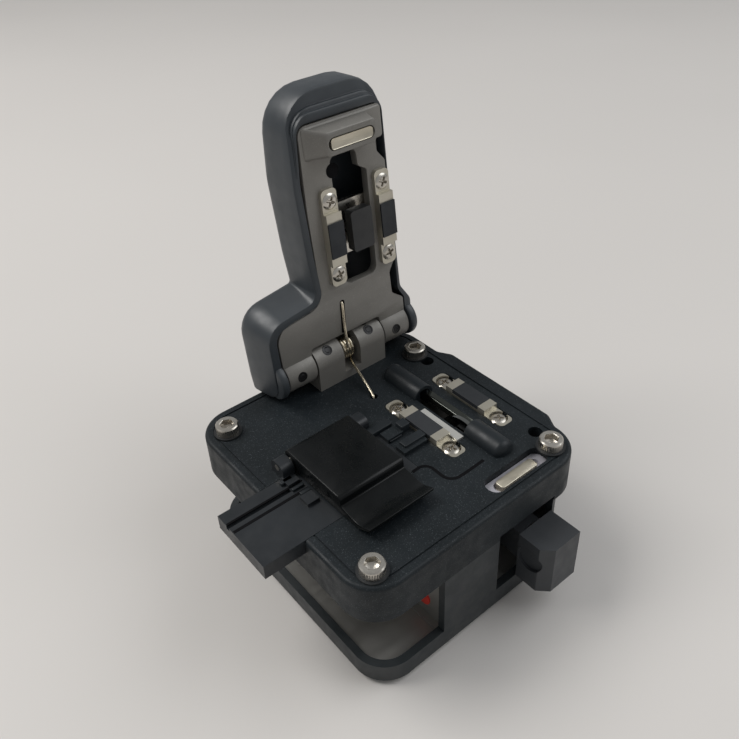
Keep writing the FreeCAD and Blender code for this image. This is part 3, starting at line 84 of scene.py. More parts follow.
def ramp(tree, value, low, high, start=0.35, end=0.65):
    """A blend between two colours or two greys: (value - start) / (end - start), held between 0 and 1."""
    blend = tree.nodes.new("ShaderNodeValToRGB")
    for stop, place, tone in zip(blend.color_ramp.elements, (start, end), (low, high)):
        stop.position = place
        stop.color = (tone, tone, tone, 1) if isinstance(tone, float) else (*tone, 1)
    tree.links.new(value, blend.inputs["Fac"])
    return blend.outputs["Color"]


def bump(tree, shader, value, depth, strength=0.3):
    """Height from a value, depth in metres."""
    relief = tree.nodes.new("ShaderNodeBump")
    relief.inputs["Strength"].default_value = strength
    relief.inputs["Distance"].default_value = depth
    tree.links.new(value, relief.inputs["Height"])
    tree.links.new(relief.outputs["Normal"], shader.inputs["Normal"])


def finish(name, dark, light, rough, grain, depth, metallic=0.0, specular=0.5, speckle=None,
           stretch=(1, 1, 1), strength=0.3):
    """A surface with a broad drift between two colours, a varied roughness and a fine grain.

    rough is (low, high), grain is in cells per metre and depth in metres. speckle is a colour for sparse
    bright grains.
    """
    material, tree, shader = new_material(name, metallic, specular)
    colour = ramp(tree, noise(tree, 60, 4.0), dark, light)
    fine = noise(tree, grain, 2.0, stretch)
    if speckle is not None:
        mix = tree.nodes.new("ShaderNodeMix")
        mix.data_type = "RGBA"
        mix.inputs["B"].default_value = (*speckle, 1)
        tree.links.new(ramp(tree, fine, 0.0, 1.0, 0.62, 0.72), mix.inputs["Factor"])
        tree.links.new(colour, mix.inputs["A"])
        colour = mix.outputs["Result"]
    tree.links.new(colour, shader.inputs["Base Color"])
    tree.links.new(ramp(tree, noise(tree, 350, 3.0, stretch), rough[0], rough[1]), shader.inputs["Roughness"])
    bump(tree, shader, fine, depth, strength)
    return material


def dress(material, *nodes):
    """Give CAD nodes a finish."""
    for name in nodes:
        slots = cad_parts[name].data.materials
        slots.clear()
        slots.append(material)


def link_piece(name, mesh, body, material, angle=40):
    """Finish a computed mesh: outward faces, smooth within the angle, a material and a body to ride on."""
    work = bmesh.new()
    work.from_mesh(mesh)
    bmesh.ops.remove_doubles(work, verts=work.verts, dist=1e-6)
    bmesh.ops.recalc_face_normals(work, faces=work.faces)
    work.to_mesh(mesh)
    work.free()
    mesh.shade_smooth()
    mesh.set_sharp_from_angle(angle=math.radians(angle))
    mesh.materials.append(material)
    piece = bpy.data.objects.new(name, mesh)
    bpy.context.scene.collection.objects.link(piece)
    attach(piece, body)
    return piece


def skin(name, rows, body, material, angle=40, around=True, ends=True):
    """A skin over a grid of points in millimetres, rows x columns x 3: each row is joined to the next one.

    With around, the last column meets the first; with ends, the first and last rows are closed by a face.
    """
    rows = np.asarray(rows, float) / 1000
    count, width = rows.shape[:2]
    index = np.arange(count * width).reshape(count, width)
    right = np.roll(index, -1, axis=1)
    here, there = (index, right) if around else (index[:, :-1], index[:, 1:])
    quads = np.stack([here[:-1], there[:-1], there[1:], here[1:]], axis=-1).reshape(-1, 4).tolist()
    if ends:
        quads += [index[0].tolist(), index[-1].tolist()]
    mesh = bpy.data.meshes.new(name)
    mesh.from_pydata(rows.reshape(-1, 3).tolist(), [], quads)
    return link_piece(name, mesh, body, material, angle)


dress(finish("tray_plastic", (0.014, 0.018, 0.0205), (0.02, 0.025, 0.028), (0.42, 0.55), 4500, 0.00002),
      "base_tray")

# ------------------------------------------------------------------ rubber feet
# Four discs of soft black rubber, glued in round seats under the tray, with a dusty matt face.
# They keep the tool from sliding on the bench.
dress(finish("foot_rubber", (0.018, 0.018, 0.018), (0.03, 0.03, 0.029), (0.75, 0.9), 2500, 0.00003),
      "rubber_feet")
# ------------------------------------------------------------------ chassis
# The chassis is machined from light aluminium and left with its fine cutter marks, pale and slightly
# lavender in the open bay and behind the button.
dress(finish("machined_aluminium", (0.3, 0.295, 0.28), (0.38, 0.375, 0.36), (0.34, 0.48), 2600, 0.00001,
             metallic=0.75, stretch=(0.12, 1, 1)), "chassis", "magnet_plate")

# ------------------------------------------------------------------ sealing dot
# A drop of red lacquer, brushed on the web, shows whether the chassis has been opened.
# It dries to a smooth disc with a slight shine.
dress(finish("red_lacquer", (0.55, 0.03, 0.02), (0.7, 0.06, 0.035), (0.25, 0.4), 1500, 0.00004), "seal_dot")

# ------------------------------------------------------------------ cover
# The cover is cast aluminium, machined, bead-blasted and anodised black, and screwed to the chassis.
# The sparse bright points on its flat faces are painted glints, where the blasted grain would catch the
# light.
dress(finish("blasted_black", (0.006, 0.009, 0.011), (0.011, 0.015, 0.018), (0.42, 0.58), 5200, 0.00003,
             specular=0.24, speckle=(0.07, 0.08, 0.088), strength=0.5), "top_cover")

# ------------------------------------------------------------------ fixture bar and blade carriage
# The fixture bar is milled from aluminium, anodised satin black and let into the cover and chassis.
# The carriage that slides below the deck has the same skin.
dress(finish("satin_black", (0.011, 0.0135, 0.016), (0.017, 0.02, 0.0235), (0.34, 0.46), 4200, 0.00001,
             specular=0.4), "fixture_bar", "blade_carriage")

# ------------------------------------------------------------------ push button
# The button is a bevelled block of black anodised aluminium, a little greyer than the cover.
# Its neck goes through the window to the carriage.
dress(finish("button_black", (0.03, 0.033, 0.037), (0.04, 0.044, 0.049), (0.4, 0.52), 4200, 0.00001),
      "push_button")

# ------------------------------------------------------------------ blade guards
# Two half-round guards stand at the ends of the blade slot. They are milled with the cover, share its
# black skin, and are hollow below, so that the wheel can run into them.
COVER_TOP = 32.7
BLADE_X = 16.4


def rounded_loop(corners, rounds, inset=0.0, steps=6):
    """A closed outline with round corners, set in by inset, which may be one number for each edge.

    Each edge is moved along its inward normal, and each corner is the meeting point of its two moved edges.
    The arc there has the radius round - sign(turn) * inset, starts radius * tan(turn / 2) before the corner
    and has steps + 1 points. Corners run anticlockwise.
    """
    tiny = 1e-6
    least_radius = 0.02
    corners = np.asarray(corners, float)
    edge = np.roll(corners, -1, axis=0) - corners
    along = edge / np.linalg.norm(edge, axis=1)[:, None]
    inward = np.stack([-along[:, 1], along[:, 0]], axis=1)
    inset = np.broadcast_to(np.asarray(inset, float), (len(corners),))
    into = np.roll(along, 1, axis=0)
    inward_in = np.roll(inward, 1, axis=0)
    turn = np.arctan2(into[:, 0] * along[:, 1] - into[:, 1] * along[:, 0], (into * along).sum(axis=1))
    side = np.sign(turn)
    sine = np.where(np.abs(np.sin(turn)) < tiny, tiny, np.sin(turn))
    # the moved corner lies one edge's inset along its normal and the other's along its own
    step_in = (np.roll(inset, 1) * (inward_in * inward).sum(axis=1) - inset) / sine
    corner = corners + inward_in * np.roll(inset, 1)[:, None] + into * step_in[:, None]
    radius = np.maximum(np.asarray(rounds, float) - side * inset, least_radius)
    start = corner - into * (radius * np.tan(np.abs(turn) / 2))[:, None]
    centre = start + inward_in * (side * radius)[:, None]
    angle = turn[:, None] * np.linspace(0, 1, steps + 1)[None, :]
    arm = -inward_in * (side * radius)[:, None]
    x = centre[:, :1] + arm[:, :1] * np.cos(angle) - arm[:, 1:] * np.sin(angle)
    y = centre[:, 1:] + arm[:, :1] * np.sin(angle) + arm[:, 1:] * np.cos(angle)
    return np.stack([x, y], axis=-1).reshape(-1, 2)
def guard(name, flat, tip):
    """Half-round hollow guard from its flat end to its round tip: each row is an arch across the slot.

    The arch's radius is full * sqrt(open_tip - t * t), with t the share of the nose that is passed. open_tip
    is a little over 1, so that the last arch stays open.
    """
    full = 2.92
    nose = 1.9
    wall = 0.8
    open_tip = 1.0004
    way = 1 if tip > flat else -1
    share = np.sin(np.linspace(0, math.pi / 2, 12))[1:]
    stations = np.concatenate([[flat, flat], np.linspace(flat + way * 0.3, tip - way * nose, 4),
                               tip - way * nose + way * nose * share])
    radius = np.concatenate([[full - 0.3, full - 0.08], np.full(4, full),
                             full * np.sqrt(open_tip - share ** 2)])
    angle = np.linspace(0, math.pi, 25)
    sweep = np.concatenate([angle, angle[::-1]])
    thinner = np.repeat([0.0, wall], len(angle))
    spread = np.maximum(radius[:, None] - thinner, 0.02)
    rows = np.stack([BLADE_X + spread * np.cos(sweep), np.broadcast_to(stations[:, None], spread.shape),
                     COVER_TOP + spread * np.sin(sweep)], axis=-1)
    return skin(name, rows, "root", guard_black, 50)


guard_black = finish("guard_black", (0.009, 0.012, 0.0145), (0.013, 0.017, 0.0205), (0.36, 0.5), 5200,
                     0.00002, specular=0.3)
guard("blade_guard_back", 4.4, 17.4)
guard("blade_guard_front", -11.9, -22.9)


# ------------------------------------------------------------------ cover groove
# A narrow groove is engraved in the cover round the front of the left clamp. Its floor lies in shadow.
# A dark strip just over the cover's face stands for it.
def ribbon(name, path, width, level, body, material):
    """A flat strip along a smooth path: half the width to either side, square to the path's gradient."""
    thickness = 0.3
    path = np.asarray(path, float)
    way = np.gradient(path, axis=0)
    way /= np.linalg.norm(way, axis=1)[:, None]
    across = np.stack([-way[:, 1], way[:, 0]], axis=1) * width / 2
    lift = np.full(len(path), level)
    flat = [np.column_stack([path + sign * across, lift + rise]) for sign, rise in
            ((1, -thickness), (1, 0), (-1, 0), (-1, -thickness))]
    return skin(name, np.stack(flat, axis=1), body, material)


def arc(centre, radius, start, end, steps=10):
    """Points of an arc: centre + radius * (cos a, sin a), with a from start to end in degrees."""
    angle = np.radians(np.linspace(start, end, steps))
    return np.asarray(centre) + radius * np.stack([np.cos(angle), np.sin(angle)], axis=1)


groove_shadow = finish("groove_shadow", (0.002, 0.002, 0.0025), (0.004, 0.004, 0.005), (0.7, 0.9), 4000,
                       0.00001, specular=0.1)
groove_path = np.concatenate([[(-2.8, -12.9)], arc((-1.2, -15.2), 2.4, 80, 5),
                              arc((3.9, -17.9), 2.7, 180, 272), [(6.0, -20.65), (11.2, -20.5)]])
ribbon("cover_groove", groove_path, 0.75, COVER_TOP + 0.13, "root", groove_shadow)


# ------------------------------------------------------------------ fibre rails
# Low blocks and a step guide the fibre between the lid and the left clamp. They are milled with the
# cover and share its black skin.
def box_corners(low_x, low_y, high_x, high_y):
    """Corners of a rectangle, anticlockwise."""
    return [(low_x, low_y), (high_x, low_y), (high_x, high_y), (low_x, high_y)]


def at_level(loop, level):
    """An outline in x and y lifted to a level."""
    return np.column_stack([loop, np.full(len(loop), level)])


def low_block(name, low, high, rise, corner_radius):
    """Low block on the cover between two corners, with a small round edge: outlines at (inset, height)."""
    corners = box_corners(*low, *high)
    rows = [at_level(rounded_loop(corners, [corner_radius] * 4, inset), COVER_TOP + level)
            for inset, level in ((0, 0), (0, rise - 0.1), (0.06, rise - 0.02), (0.14, rise))]
    return skin(name, rows, "root", guard_black)


for number, rail in enumerate([((-3.6, 1.0), (3.4, 3.4), 1.4), ((3.4, -2.4), (5.9, 0.0), 2.2),
                               ((0.2, -7.2), (6.4, -5.0), 1.7), ((-0.6, -3.0), (3.0, -1.6), 0.7)]):
    low_block("fibre_rail_%d" % number, *rail, 0.25)
# ------------------------------------------------------------------ fixture lid
# The lid is a machined and polished black cover. It turns on a pin, its front edge is well rounded, and a
# hollow finger tab with a raised lip stands out under it.
def lid_profile(inset):
    """Outline of the lid across its length, as y and z in millimetres, set in by inset."""
    corners = [(7.4, 33.3), (7.6, 37.6), (-12.3, 37.6), (-12.5, 35.4), (-17.9, 34.5), (-21.8, 36.3),
               (-21.7, 35.5), (-18.0, 33.4), (-11.6, 33.2)]
    rounds = [0.4, 1.6, 1.1, 0.4, 6.0, 0.15, 0.15, 5.0, 0.8]
    return rounded_loop(corners, rounds, inset, 7)


gloss_black = finish("gloss_black", (0.0025, 0.0032, 0.0035), (0.0045, 0.0055, 0.006), (0.24, 0.32), 3000,
                     0.000004, specular=0.2)
rows = []
for x, inset in ((-21.9, 0.25), (-21.82, 0.08), (-21.6, 0.0), (-5.0, 0.0), (-4.78, 0.08), (-4.7, 0.25)):
    loop = lid_profile(inset)
    rows.append(np.stack([np.full(len(loop), x), loop[:, 0], loop[:, 1]], axis=1))
lid = skin("fixture_lid_cover", rows, "lid", gloss_black)
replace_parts(lid, "fixture_lid")

# ------------------------------------------------------------------ grooves and ribs of the fixture bar
# Two fine grooves and three small ribs are cut in the bar's black top. They lead the fibre holder in
# under the lid.
# The two grooves are dark strips laid just over the bar's top: painted shadow of their floors.
ribbon("bar_groove_back_shadow", [(-41.0, 1.1), (-22.2, 1.1)], 0.5, COVER_TOP + 0.16, "root", groove_shadow)
ribbon("bar_groove_front_shadow", [(-41.0, -1.6), (-22.2, -1.6)], 0.7, COVER_TOP + 0.16, "root", groove_shadow)
for number, rib in enumerate([((-26.6, 2.3), (-23.6, 3.4), 0.9), ((-25.0, -2.9), (-22.4, -1.9), 0.8),
                              ((-25.6, -0.6), (-22.6, 0.2), 0.7)]):
    low_block("bar_rib_%d" % number, *rib, 0.2)
# ------------------------------------------------------------------ cover screws
# Four socket head screws of stainless steel hold the cover. Their heads are turned, knurled round the
# side, broached with a hexagon, and stand on thin washers.
def full_turn(points):
    """Angles of evenly spaced points round a circle: 2 * pi * k / points."""
    return np.linspace(0, 2 * math.pi, points + 1)[:-1]


def hexagon(turn, half_key):
    """Radius of a hexagon at an angle: half the key over the cosine of the angle to the nearest flat."""
    return half_key / np.cos((turn + math.pi / 6) % (math.pi / 3) - math.pi / 6)


def socket_head(name, x, y, seat, radius, height, key, body):
    """Knurled cap head: rows go up the side, over the chamfer, in to the hexagon and down its walls.

    The side's radius at an angle is radius - depth * (1 - cos(teeth * angle)) / 2.
    """
    teeth = 32
    depth = 0.09
    turn = full_turn(192)
    knurl = depth * (0.5 - 0.5 * np.cos(teeth * turn))
    flat = hexagon(turn, key / 2)
    circle = np.ones(len(turn))
    sides = [(radius * circle, 0), (radius - knurl, 0.15), (radius - knurl, height - 0.75),
             (radius * circle - 0.02, height - 0.55), (radius * circle - 0.05, height - 0.25),
             (radius * circle - 0.3, height), (flat + 0.12, height), (flat, height - 0.12),
             (flat, height - 1.6), (0.2 * circle, height - 2.0)]
    rows = [np.stack([x + r * np.cos(turn), y + r * np.sin(turn), np.full(len(turn), seat + rise)], axis=1)
            for r, rise in sides]
    return skin(name, rows, body, steel, 30)


steel = finish("bright_steel", (0.46, 0.43, 0.38), (0.6, 0.57, 0.52), (0.2, 0.34), 3000, 0.00001,
               metallic=1.0)
heads = [socket_head("cover_screw_head_%d" % number, x, y, 32.8, 2.7, 2.6, 2.9, "root")
         for number, (x, y) in enumerate([(-26, 25.2), (-26, -27.4), (25.2, -27.4), (26, 18.2)])]
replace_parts(heads[0], "cover_screws")
# ------------------------------------------------------------------ cover washers
# Thin washers lie under the four heads and keep them from marking the cover.
# They are steel; their near-black colour is painted shadow, the dark ring under each head.
dress(finish("washer_shadow_black", (0.008, 0.009, 0.01), (0.02, 0.022, 0.024), (0.45, 0.6), 3000, 0.00001,
             specular=0.4), "cover_washers")

# ------------------------------------------------------------------ pins, small screws and anvil bridge
# The hinge pin, lid pin and blade axle are ground steel. The set screws, tray screws and the bridge that
# holds the anvil are of the same bright steel.
dress(steel, "bracket_set_screws", "hinge_pin", "lid_pin", "blade_axle", "tray_screws",
      "anvil_bridge", "knuckle_set_screws")


# ------------------------------------------------------------------ magnet plate
# A pale plate lies under a window at the cover's front. It is machined from aluminium, and a slot with
# round ends in its face holds the magnet.
def as_it_stands(x, y, z):
    """A place left as it is."""
    return x, y, z


def slotted_plate(name, levels, slot, face, floor, body, material, place=as_it_stands):
    """A block with a slot in its face: outer outlines level by level, then the slot's outline and its floor.

    Each row is a rectangle with round corners, so the columns of all rows stand at the same corners.
    """
    def rectangle(low_x, low_y, high_x, high_y, radius, z):
        """One row: a rectangle with round corners at a level, put in its place."""
        loop = rounded_loop(box_corners(low_x, low_y, high_x, high_y), [radius] * 4)
        return np.stack(place(loop[:, 0], loop[:, 1], np.full(len(loop), z)), axis=1)

    rows = [rectangle(*level) for level in levels]
    rows += [rectangle(*slot, face), rectangle(*slot, floor)]
    return skin(name, rows, body, material)


plate_grey = finish("plate_grey", (0.42, 0.41, 0.45), (0.52, 0.51, 0.55), (0.4, 0.5), 3000, 0.00001,
                    metallic=0.3)
edge = (5.7, -29.5, 23.1, -24.9)
base_plate = slotted_plate("magnet_seat", [(*edge, 0.3, 29.8), (*edge, 0.3, 31.0)],
                           (8.0, -28.75, 21.4, -25.75, 1.49), 31.0, 30.0, "root", plate_grey)
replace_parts(base_plate, "magnet_plate")


# ------------------------------------------------------------------ base magnet
# The base magnet is a bar with rounded ends, glued in the plate's slot. Its nickel coating is warm and
# slightly mottled.
def bar_magnet(name, low_x, low_y, high_x, high_y, low, high, body, place=as_it_stands):
    """Bar with round corners and a small chamfer: four outlines, the last one set in."""
    corners = box_corners(low_x, low_y, high_x, high_y)
    rows = []
    for inset, z in ((0, low), (0, high - 0.15), (0.05, high - 0.05), (0.15, high)):
        loop = rounded_loop(corners, [0.7] * 4, inset)
        rows.append(np.stack(place(loop[:, 0], loop[:, 1], np.full(len(loop), z)), axis=1))
    return skin(name, rows, body, nickel)


nickel = finish("magnet_nickel", (0.52, 0.48, 0.39), (0.64, 0.6, 0.5), (0.3, 0.45), 1800, 0.00001,
                metallic=0.85)
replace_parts(bar_magnet("base_magnet_bar", 9.0, -28.5, 20.2, -25.9, 29.9, 31.7, "root"), "base_magnet")

# ------------------------------------------------------------------ clamp blocks
# The clamp blocks of the base and the lever are nickel-plated steel, ground flat, with a warm tone.
# Screws hold their feet, and their jaws meet on the fibre.
dress(finish("clamp_nickel", (0.46, 0.43, 0.36), (0.57, 0.54, 0.46), (0.3, 0.42), 2500, 0.00001, metallic=0.8,
             stretch=(1, 0.1, 1)), "lower_clamp_left", "lower_clamp_right", "upper_clamp_left",
             "upper_clamp_right")
# ------------------------------------------------------------------ earth strip
# A bright strip of sheet steel lies beside the left clamp. It is ground along its length.
# It is held with the clamp.
dress(finish("ground_strip", (0.68, 0.67, 0.63), (0.8, 0.79, 0.75), (0.2, 0.35), 2500, 0.00001, metallic=0.8,
             stretch=(1, 0.1, 1)), "ground_strip")
# ------------------------------------------------------------------ rubber pads
# Pads of firm black rubber lie in the jaws of the clamps and under the lid, where they press on the
# fibre. They are glued in.
dress(finish("pad_rubber", (0.012, 0.014, 0.017), (0.02, 0.023, 0.027), (0.6, 0.75), 5000, 0.00002),
      "lower_pads", "upper_pads", "lid_pad")

# ------------------------------------------------------------------ lower clamp screws
# Two small cross-head screws of bright steel hold each lower clamp block on the chassis.
# Their pan heads are pressed.
def cross_head(name, x, y, seat, body, place=as_it_stands, spin=0.5):
    """Pan head with a cross recess over a polar grid.

    With s the share of the radius, the height is height * (1 - sag * s ** 4) - depth * recess. The recess
    is 1 within half_arm of either arm's middle and within reach of the centre, and fades beyond.
    """
    radius = 1.95
    height = 1.0
    sag = 0.45
    half_arm = 0.15
    reach = 0.62
    depth = 0.7
    share = np.concatenate([[1.0, 1.0], np.linspace(0.98, 0.02, 17)])
    angle, s = np.meshgrid(full_turn(72), share)
    arm = np.minimum(np.abs(s * np.cos(angle - spin)), np.abs(s * np.sin(angle - spin)))
    recess = np.clip((half_arm - arm) / 0.07, 0, 1) * np.clip((reach - s) / 0.12, 0, 1)
    z = height * (1 - sag * s ** 4) - depth * recess
    z[0] = -0.3
    rows = np.stack(place(x + radius * s * np.cos(angle), y + radius * s * np.sin(angle), seat + z), axis=-1)
    return skin(name, rows, body, steel, 35)


lower_heads = [cross_head("lower_clamp_head_%d" % number, x, y, 31.7, "root", spin=0.4 + number)
               for number, (x, y) in enumerate([(8.8, -13), (8.8, 5), (24.0, -13), (24.0, 5)])]
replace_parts(lower_heads[0], "lower_clamp_screws")

# ------------------------------------------------------------------ lever frame
# The lever's frame is a plate of aluminium with a warm grey anodised skin. A window for the anvil is
# milled through it, and the hinge bracket has the same skin.
HINGE_Y = 26.6
HINGE_Z = 39.3
LEAN_SINE = 0.0958
LEAN_COSINE = 0.9954


def on_lever(x, r, e):
    """From the lever's own plane to the open lever: r away from the hinge, e behind the plate's plane.

    y = HINGE_Y + LEAN_SINE * r + LEAN_COSINE * e and z = HINGE_Z + LEAN_COSINE * r - LEAN_SINE * e.
    """
    return x, HINGE_Y + LEAN_SINE * r + LEAN_COSINE * e, HINGE_Z + LEAN_COSINE * r - LEAN_SINE * e
def flat_sheet(name, loops, front, back, body, material, edge=0.15):
    """Sheet with holes on the lever: flat outlines filled and given a thickness and a small round edge."""
    curve = bpy.data.curves.new(name, "CURVE")
    curve.dimensions = "2D"
    curve.fill_mode = "BOTH"
    curve.extrude = (back - front) / 2 - edge
    curve.bevel_depth = edge
    curve.bevel_resolution = 1
    curve.offset = -edge
    for loop in loops:
        spline = curve.splines.new("POLY")
        spline.points.add(len(loop) - 1)
        spline.points.foreach_set("co", np.column_stack([loop, np.zeros(len(loop)),
                                                         np.ones(len(loop))]).ravel())
        spline.use_cyclic_u = True
    draft = bpy.data.objects.new(name + "_draft", curve)
    mesh = bpy.data.meshes.new_from_object(draft)
    bpy.data.objects.remove(draft)
    points = np.empty(len(mesh.vertices) * 3)
    mesh.vertices.foreach_get("co", points)
    points = points.reshape(-1, 3)
    points = np.stack(on_lever(points[:, 0], points[:, 1], (front + back) / 2 + points[:, 2]), axis=1) / 1000
    mesh.vertices.foreach_set("co", points.ravel())
    return link_piece(name, mesh, body, material)


grey = finish("grey_anodised", (0.18, 0.172, 0.157), (0.225, 0.215, 0.197), (0.42, 0.52), 5200, 0.00002,
              metallic=0.3, strength=0.6, speckle=(0.28, 0.27, 0.25))
dress(grey, "hinge_bracket")
plate = rounded_loop([(-9.6, 0.3), (-1.45, 0.3), (-1.45, 5.0), (19.75, 5.0), (19.75, 0.3), (27.9, 0.3),
                      (27.9, 7.2), (24.6, 9.6), (24.4, 15.6), (26.3, 18.6), (26.3, 44.0), (24.2, 46.6),
                      (24.2, 49.4), (26.3, 50.6), (26.3, 57.2), (3.7, 57.2), (3.2, 38.0), (3.6, 15.8),
                      (-9.9, 13.4)],
                     [0.1, 0.1, 0.9, 0.9, 0.1, 0.1, 1.2, 1.5, 1.5, 1.5, 1.2, 1.0, 0.8, 0.6, 1.0, 2.2, 8,
                      3.2, 4.6])
window = rounded_loop([(10.95, 17.4), (20.6, 17.4), (20.7, 43.4), (18.4, 44.8), (18.1, 49.0), (10.95, 49.0)],
                      [2.0, 2.0, 0.8, 0.8, 1.4, 1.6])[::-1]
frame_plate = flat_sheet("frame_plate", [plate, window], -2.6, -0.4, "lever", grey)
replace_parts(frame_plate, "lever_frame")

# ------------------------------------------------------------------ magnet block
# The magnet block is milled in one piece with the frame. It is wide and bevelled where it grows out of
# the plate, and a slot in its face holds the bar.
block_levels = [(4.4, 49.6, 26.2, 57.0, 0.8, -2.4), (4.5, 49.65, 26.1, 56.9, 0.8, -2.75),
                (4.8, 49.7, 25.6, 56.7, 0.8, -2.95), (5.1, 49.8, 21.9, 56.5, 0.8, -3.05),
                (8.0, 50.25, 21.65, 55.6, 0.8, -6.1), (8.2, 50.4, 21.55, 55.4, 0.8, -6.28)]
slotted_plate("magnet_block", block_levels, (8.75, 51.35, 21.35, 54.25, 1.4), -6.28, -5.0, "lever", grey,
              on_lever)

# ------------------------------------------------------------------ lever magnet
# The lever's magnet is a bar like the base's, with the same warm nickel coating. It is glued in the
# block's slot and holds the lever shut.
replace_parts(bar_magnet("lever_magnet", 9.4, 51.55, 20.8, 54.05, -5.2, -6.2, "lever", on_lever),
            "lever_magnet_bar")

# ------------------------------------------------------------------ upper clamp screws
# Four small cross-head screws of bright steel hold the two upper clamp blocks on the frame.
# They are like the lower ones.
def in_front_of_lever(x, r, height):
    """A place at a height in front of the plate's plane."""
    return on_lever(x, r, -height)


upper_heads = [cross_head("upper_clamp_head_%d" % number, x, r, 3.1, "lever", in_front_of_lever,
                          0.3 + number * 0.8)
               for number, (x, r) in enumerate([(8.8, 21.6), (8.8, 39.6), (24.0, 21.6), (24.0, 39.6)])]
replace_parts(upper_heads[0], "upper_clamp_screws")


# ------------------------------------------------------------------ knuckles and their set screws
# Two knuckles of the frame and two posts of the bracket share one steel pin. A black set screw with a
# hexagon socket is let into each.
def barrel(name, low, high, radius, body, material, edge=0.35):
    """Round bar along the hinge axis with rounded ends: rows are circles, their radius set in at the ends."""
    turn = full_turn(64)
    stations = [(low, radius - edge), (low + edge * 0.3, radius - edge * 0.3), (low + edge, radius),
                (high - edge, radius), (high - edge * 0.3, radius - edge * 0.3), (high, radius - edge)]
    rows = [np.stack([np.full(len(turn), x), HINGE_Y + r * np.cos(turn), HINGE_Z + r * np.sin(turn)], axis=1)
            for x, r in stations]
    return skin(name, rows, body, material)


def sunk_screw(name, x, lean, radius, body):
    """Set screw let into a round bar: a rim, a dark step and a hexagon, all bent round the bar's own radius.

    A point at reach along the surface lies at the angle lean + reach * sin(turn) / radius.
    """
    turn = full_turn(48)
    flat = hexagon(turn, 0.55)
    circle = np.ones(len(turn))
    rings = [(1.3 * circle, -0.05), (1.3 * circle, 0.06), (1.05 * circle, 0.06), (0.98 * circle, 0.02),
             (flat * 1.1, 0.02), (flat, 0.07), (0.05 * circle, 0.03)]
    rows = []
    for reach, rise in rings:
        bend = math.radians(lean) + reach * np.sin(turn) / radius
        rows.append(np.stack([x + reach * np.cos(turn), HINGE_Y - (radius + rise) * np.cos(bend),
                              HINGE_Z + (radius + rise) * np.sin(bend)], axis=1))
    return skin(name, rows, body, socket_black)


socket_black = finish("socket_black", (0.006, 0.006, 0.007), (0.02, 0.02, 0.021), (0.3, 0.5), 3000, 0.00001,
                      metallic=0.5)
KNUCKLE_RADIUS = 4.3
for side, low, high in (("left", -9.6, -1.45), ("right", 19.75, 27.9)):
    barrel("knuckle_" + side, low, high, KNUCKLE_RADIUS, "lever", grey)
    sunk_screw("knuckle_screw_" + side, (low + high) / 2 - 0.4, 8, KNUCKLE_RADIUS, "lever")
for side, x in (("left", 2.75), ("right", 15.55)):
    sunk_screw("post_screw_" + side, x, 52, KNUCKLE_RADIUS, "root")


# ------------------------------------------------------------------ lever cover
# The hood over the lever is one black moulding. Its side draws in to a waist for the thumb, its tip has
# three shallow grip steps, and two round cheeks close the ends of the hinge.
PLATE_FACE = -2.6
EAR_RADIUS = 4.7
FRAME_SEAT = 7.2
SWELL_END = 6.4
BACK_RADIUS = 3
ARC_POINTS = 7
hood_black = finish("hood_black", (0.03, 0.036, 0.042), (0.038, 0.045, 0.052), (0.36, 0.46), 3800, 0.00002)
hood_corners = np.array([(-12.0, -5.0), (-9.9, -5.0), (-9.8, -5.0), (28.1, -5.0), (28.2, -5.0), (30.4, -5.0),
                         (30.4, -3.4), (30.4, -2.2), (30.4, -0.3), (30.4, 6.0), (27.5, 10.6), (27.5, 63.7),
                         (2.2, 63.7), (0.6, 45.0), (1.3, 27.0), (2.2, 16.8), (-12.4, 14.9), (-12.3, -0.3),
                         (-12.2, -2.2), (-12.1, -3.4)])
hood_rounds = [1.0, 0.1, 0.1, 0.1, 0.1, 1.0, 0.1, 0.1, 0.1, 3.0, 3.0, 8.0, 9.5, 30, 12, 2.4, 5.4, 0.1, 0.1,
               0.1]
hood_walls = [0, 0, 0, 0, 0, 2.2, 2.2, 2.2, 2.2, 1.2, 1.0, 6.3, 1.9, 1.9, 1.9, 2.1, 2.2, 2.2, 2.2, 2.2]
inner_rounds = list(hood_rounds)
inner_rounds[11:13] = [8.8, 4.2]
outer = {inset: rounded_loop(hood_corners, hood_rounds, inset) for inset in (0.0, 0.12, 0.3)}
inner = rounded_loop(hood_corners, inner_rounds, hood_walls)
reach = outer[0.0][:, 1]
tip_ramp = np.clip((reach - 52) / 7, 0, 1)
tip_share = tip_ramp ** 2 * (3 - 2 * tip_ramp)
# the rim follows a circle round the hinge, and stays back between the cheeks, at hood corners 2 and 3
drop = np.clip(-0.3 - reach, 0, EAR_RADIUS)
rim = PLATE_FACE + EAR_RADIUS - np.sqrt(EAR_RADIUS ** 2 - drop ** 2)
rim[2 * ARC_POINTS:4 * ARC_POINTS] = FRAME_SEAT


def hood_row(loop, depth, rise=0.0):
    """One row of the hood at depth + rise * tip_share behind the plate's plane, never ahead of the rim."""
    return np.stack(on_lever(loop[:, 0], loop[:, 1], np.maximum(depth + rise * tip_share, rim)), axis=1)


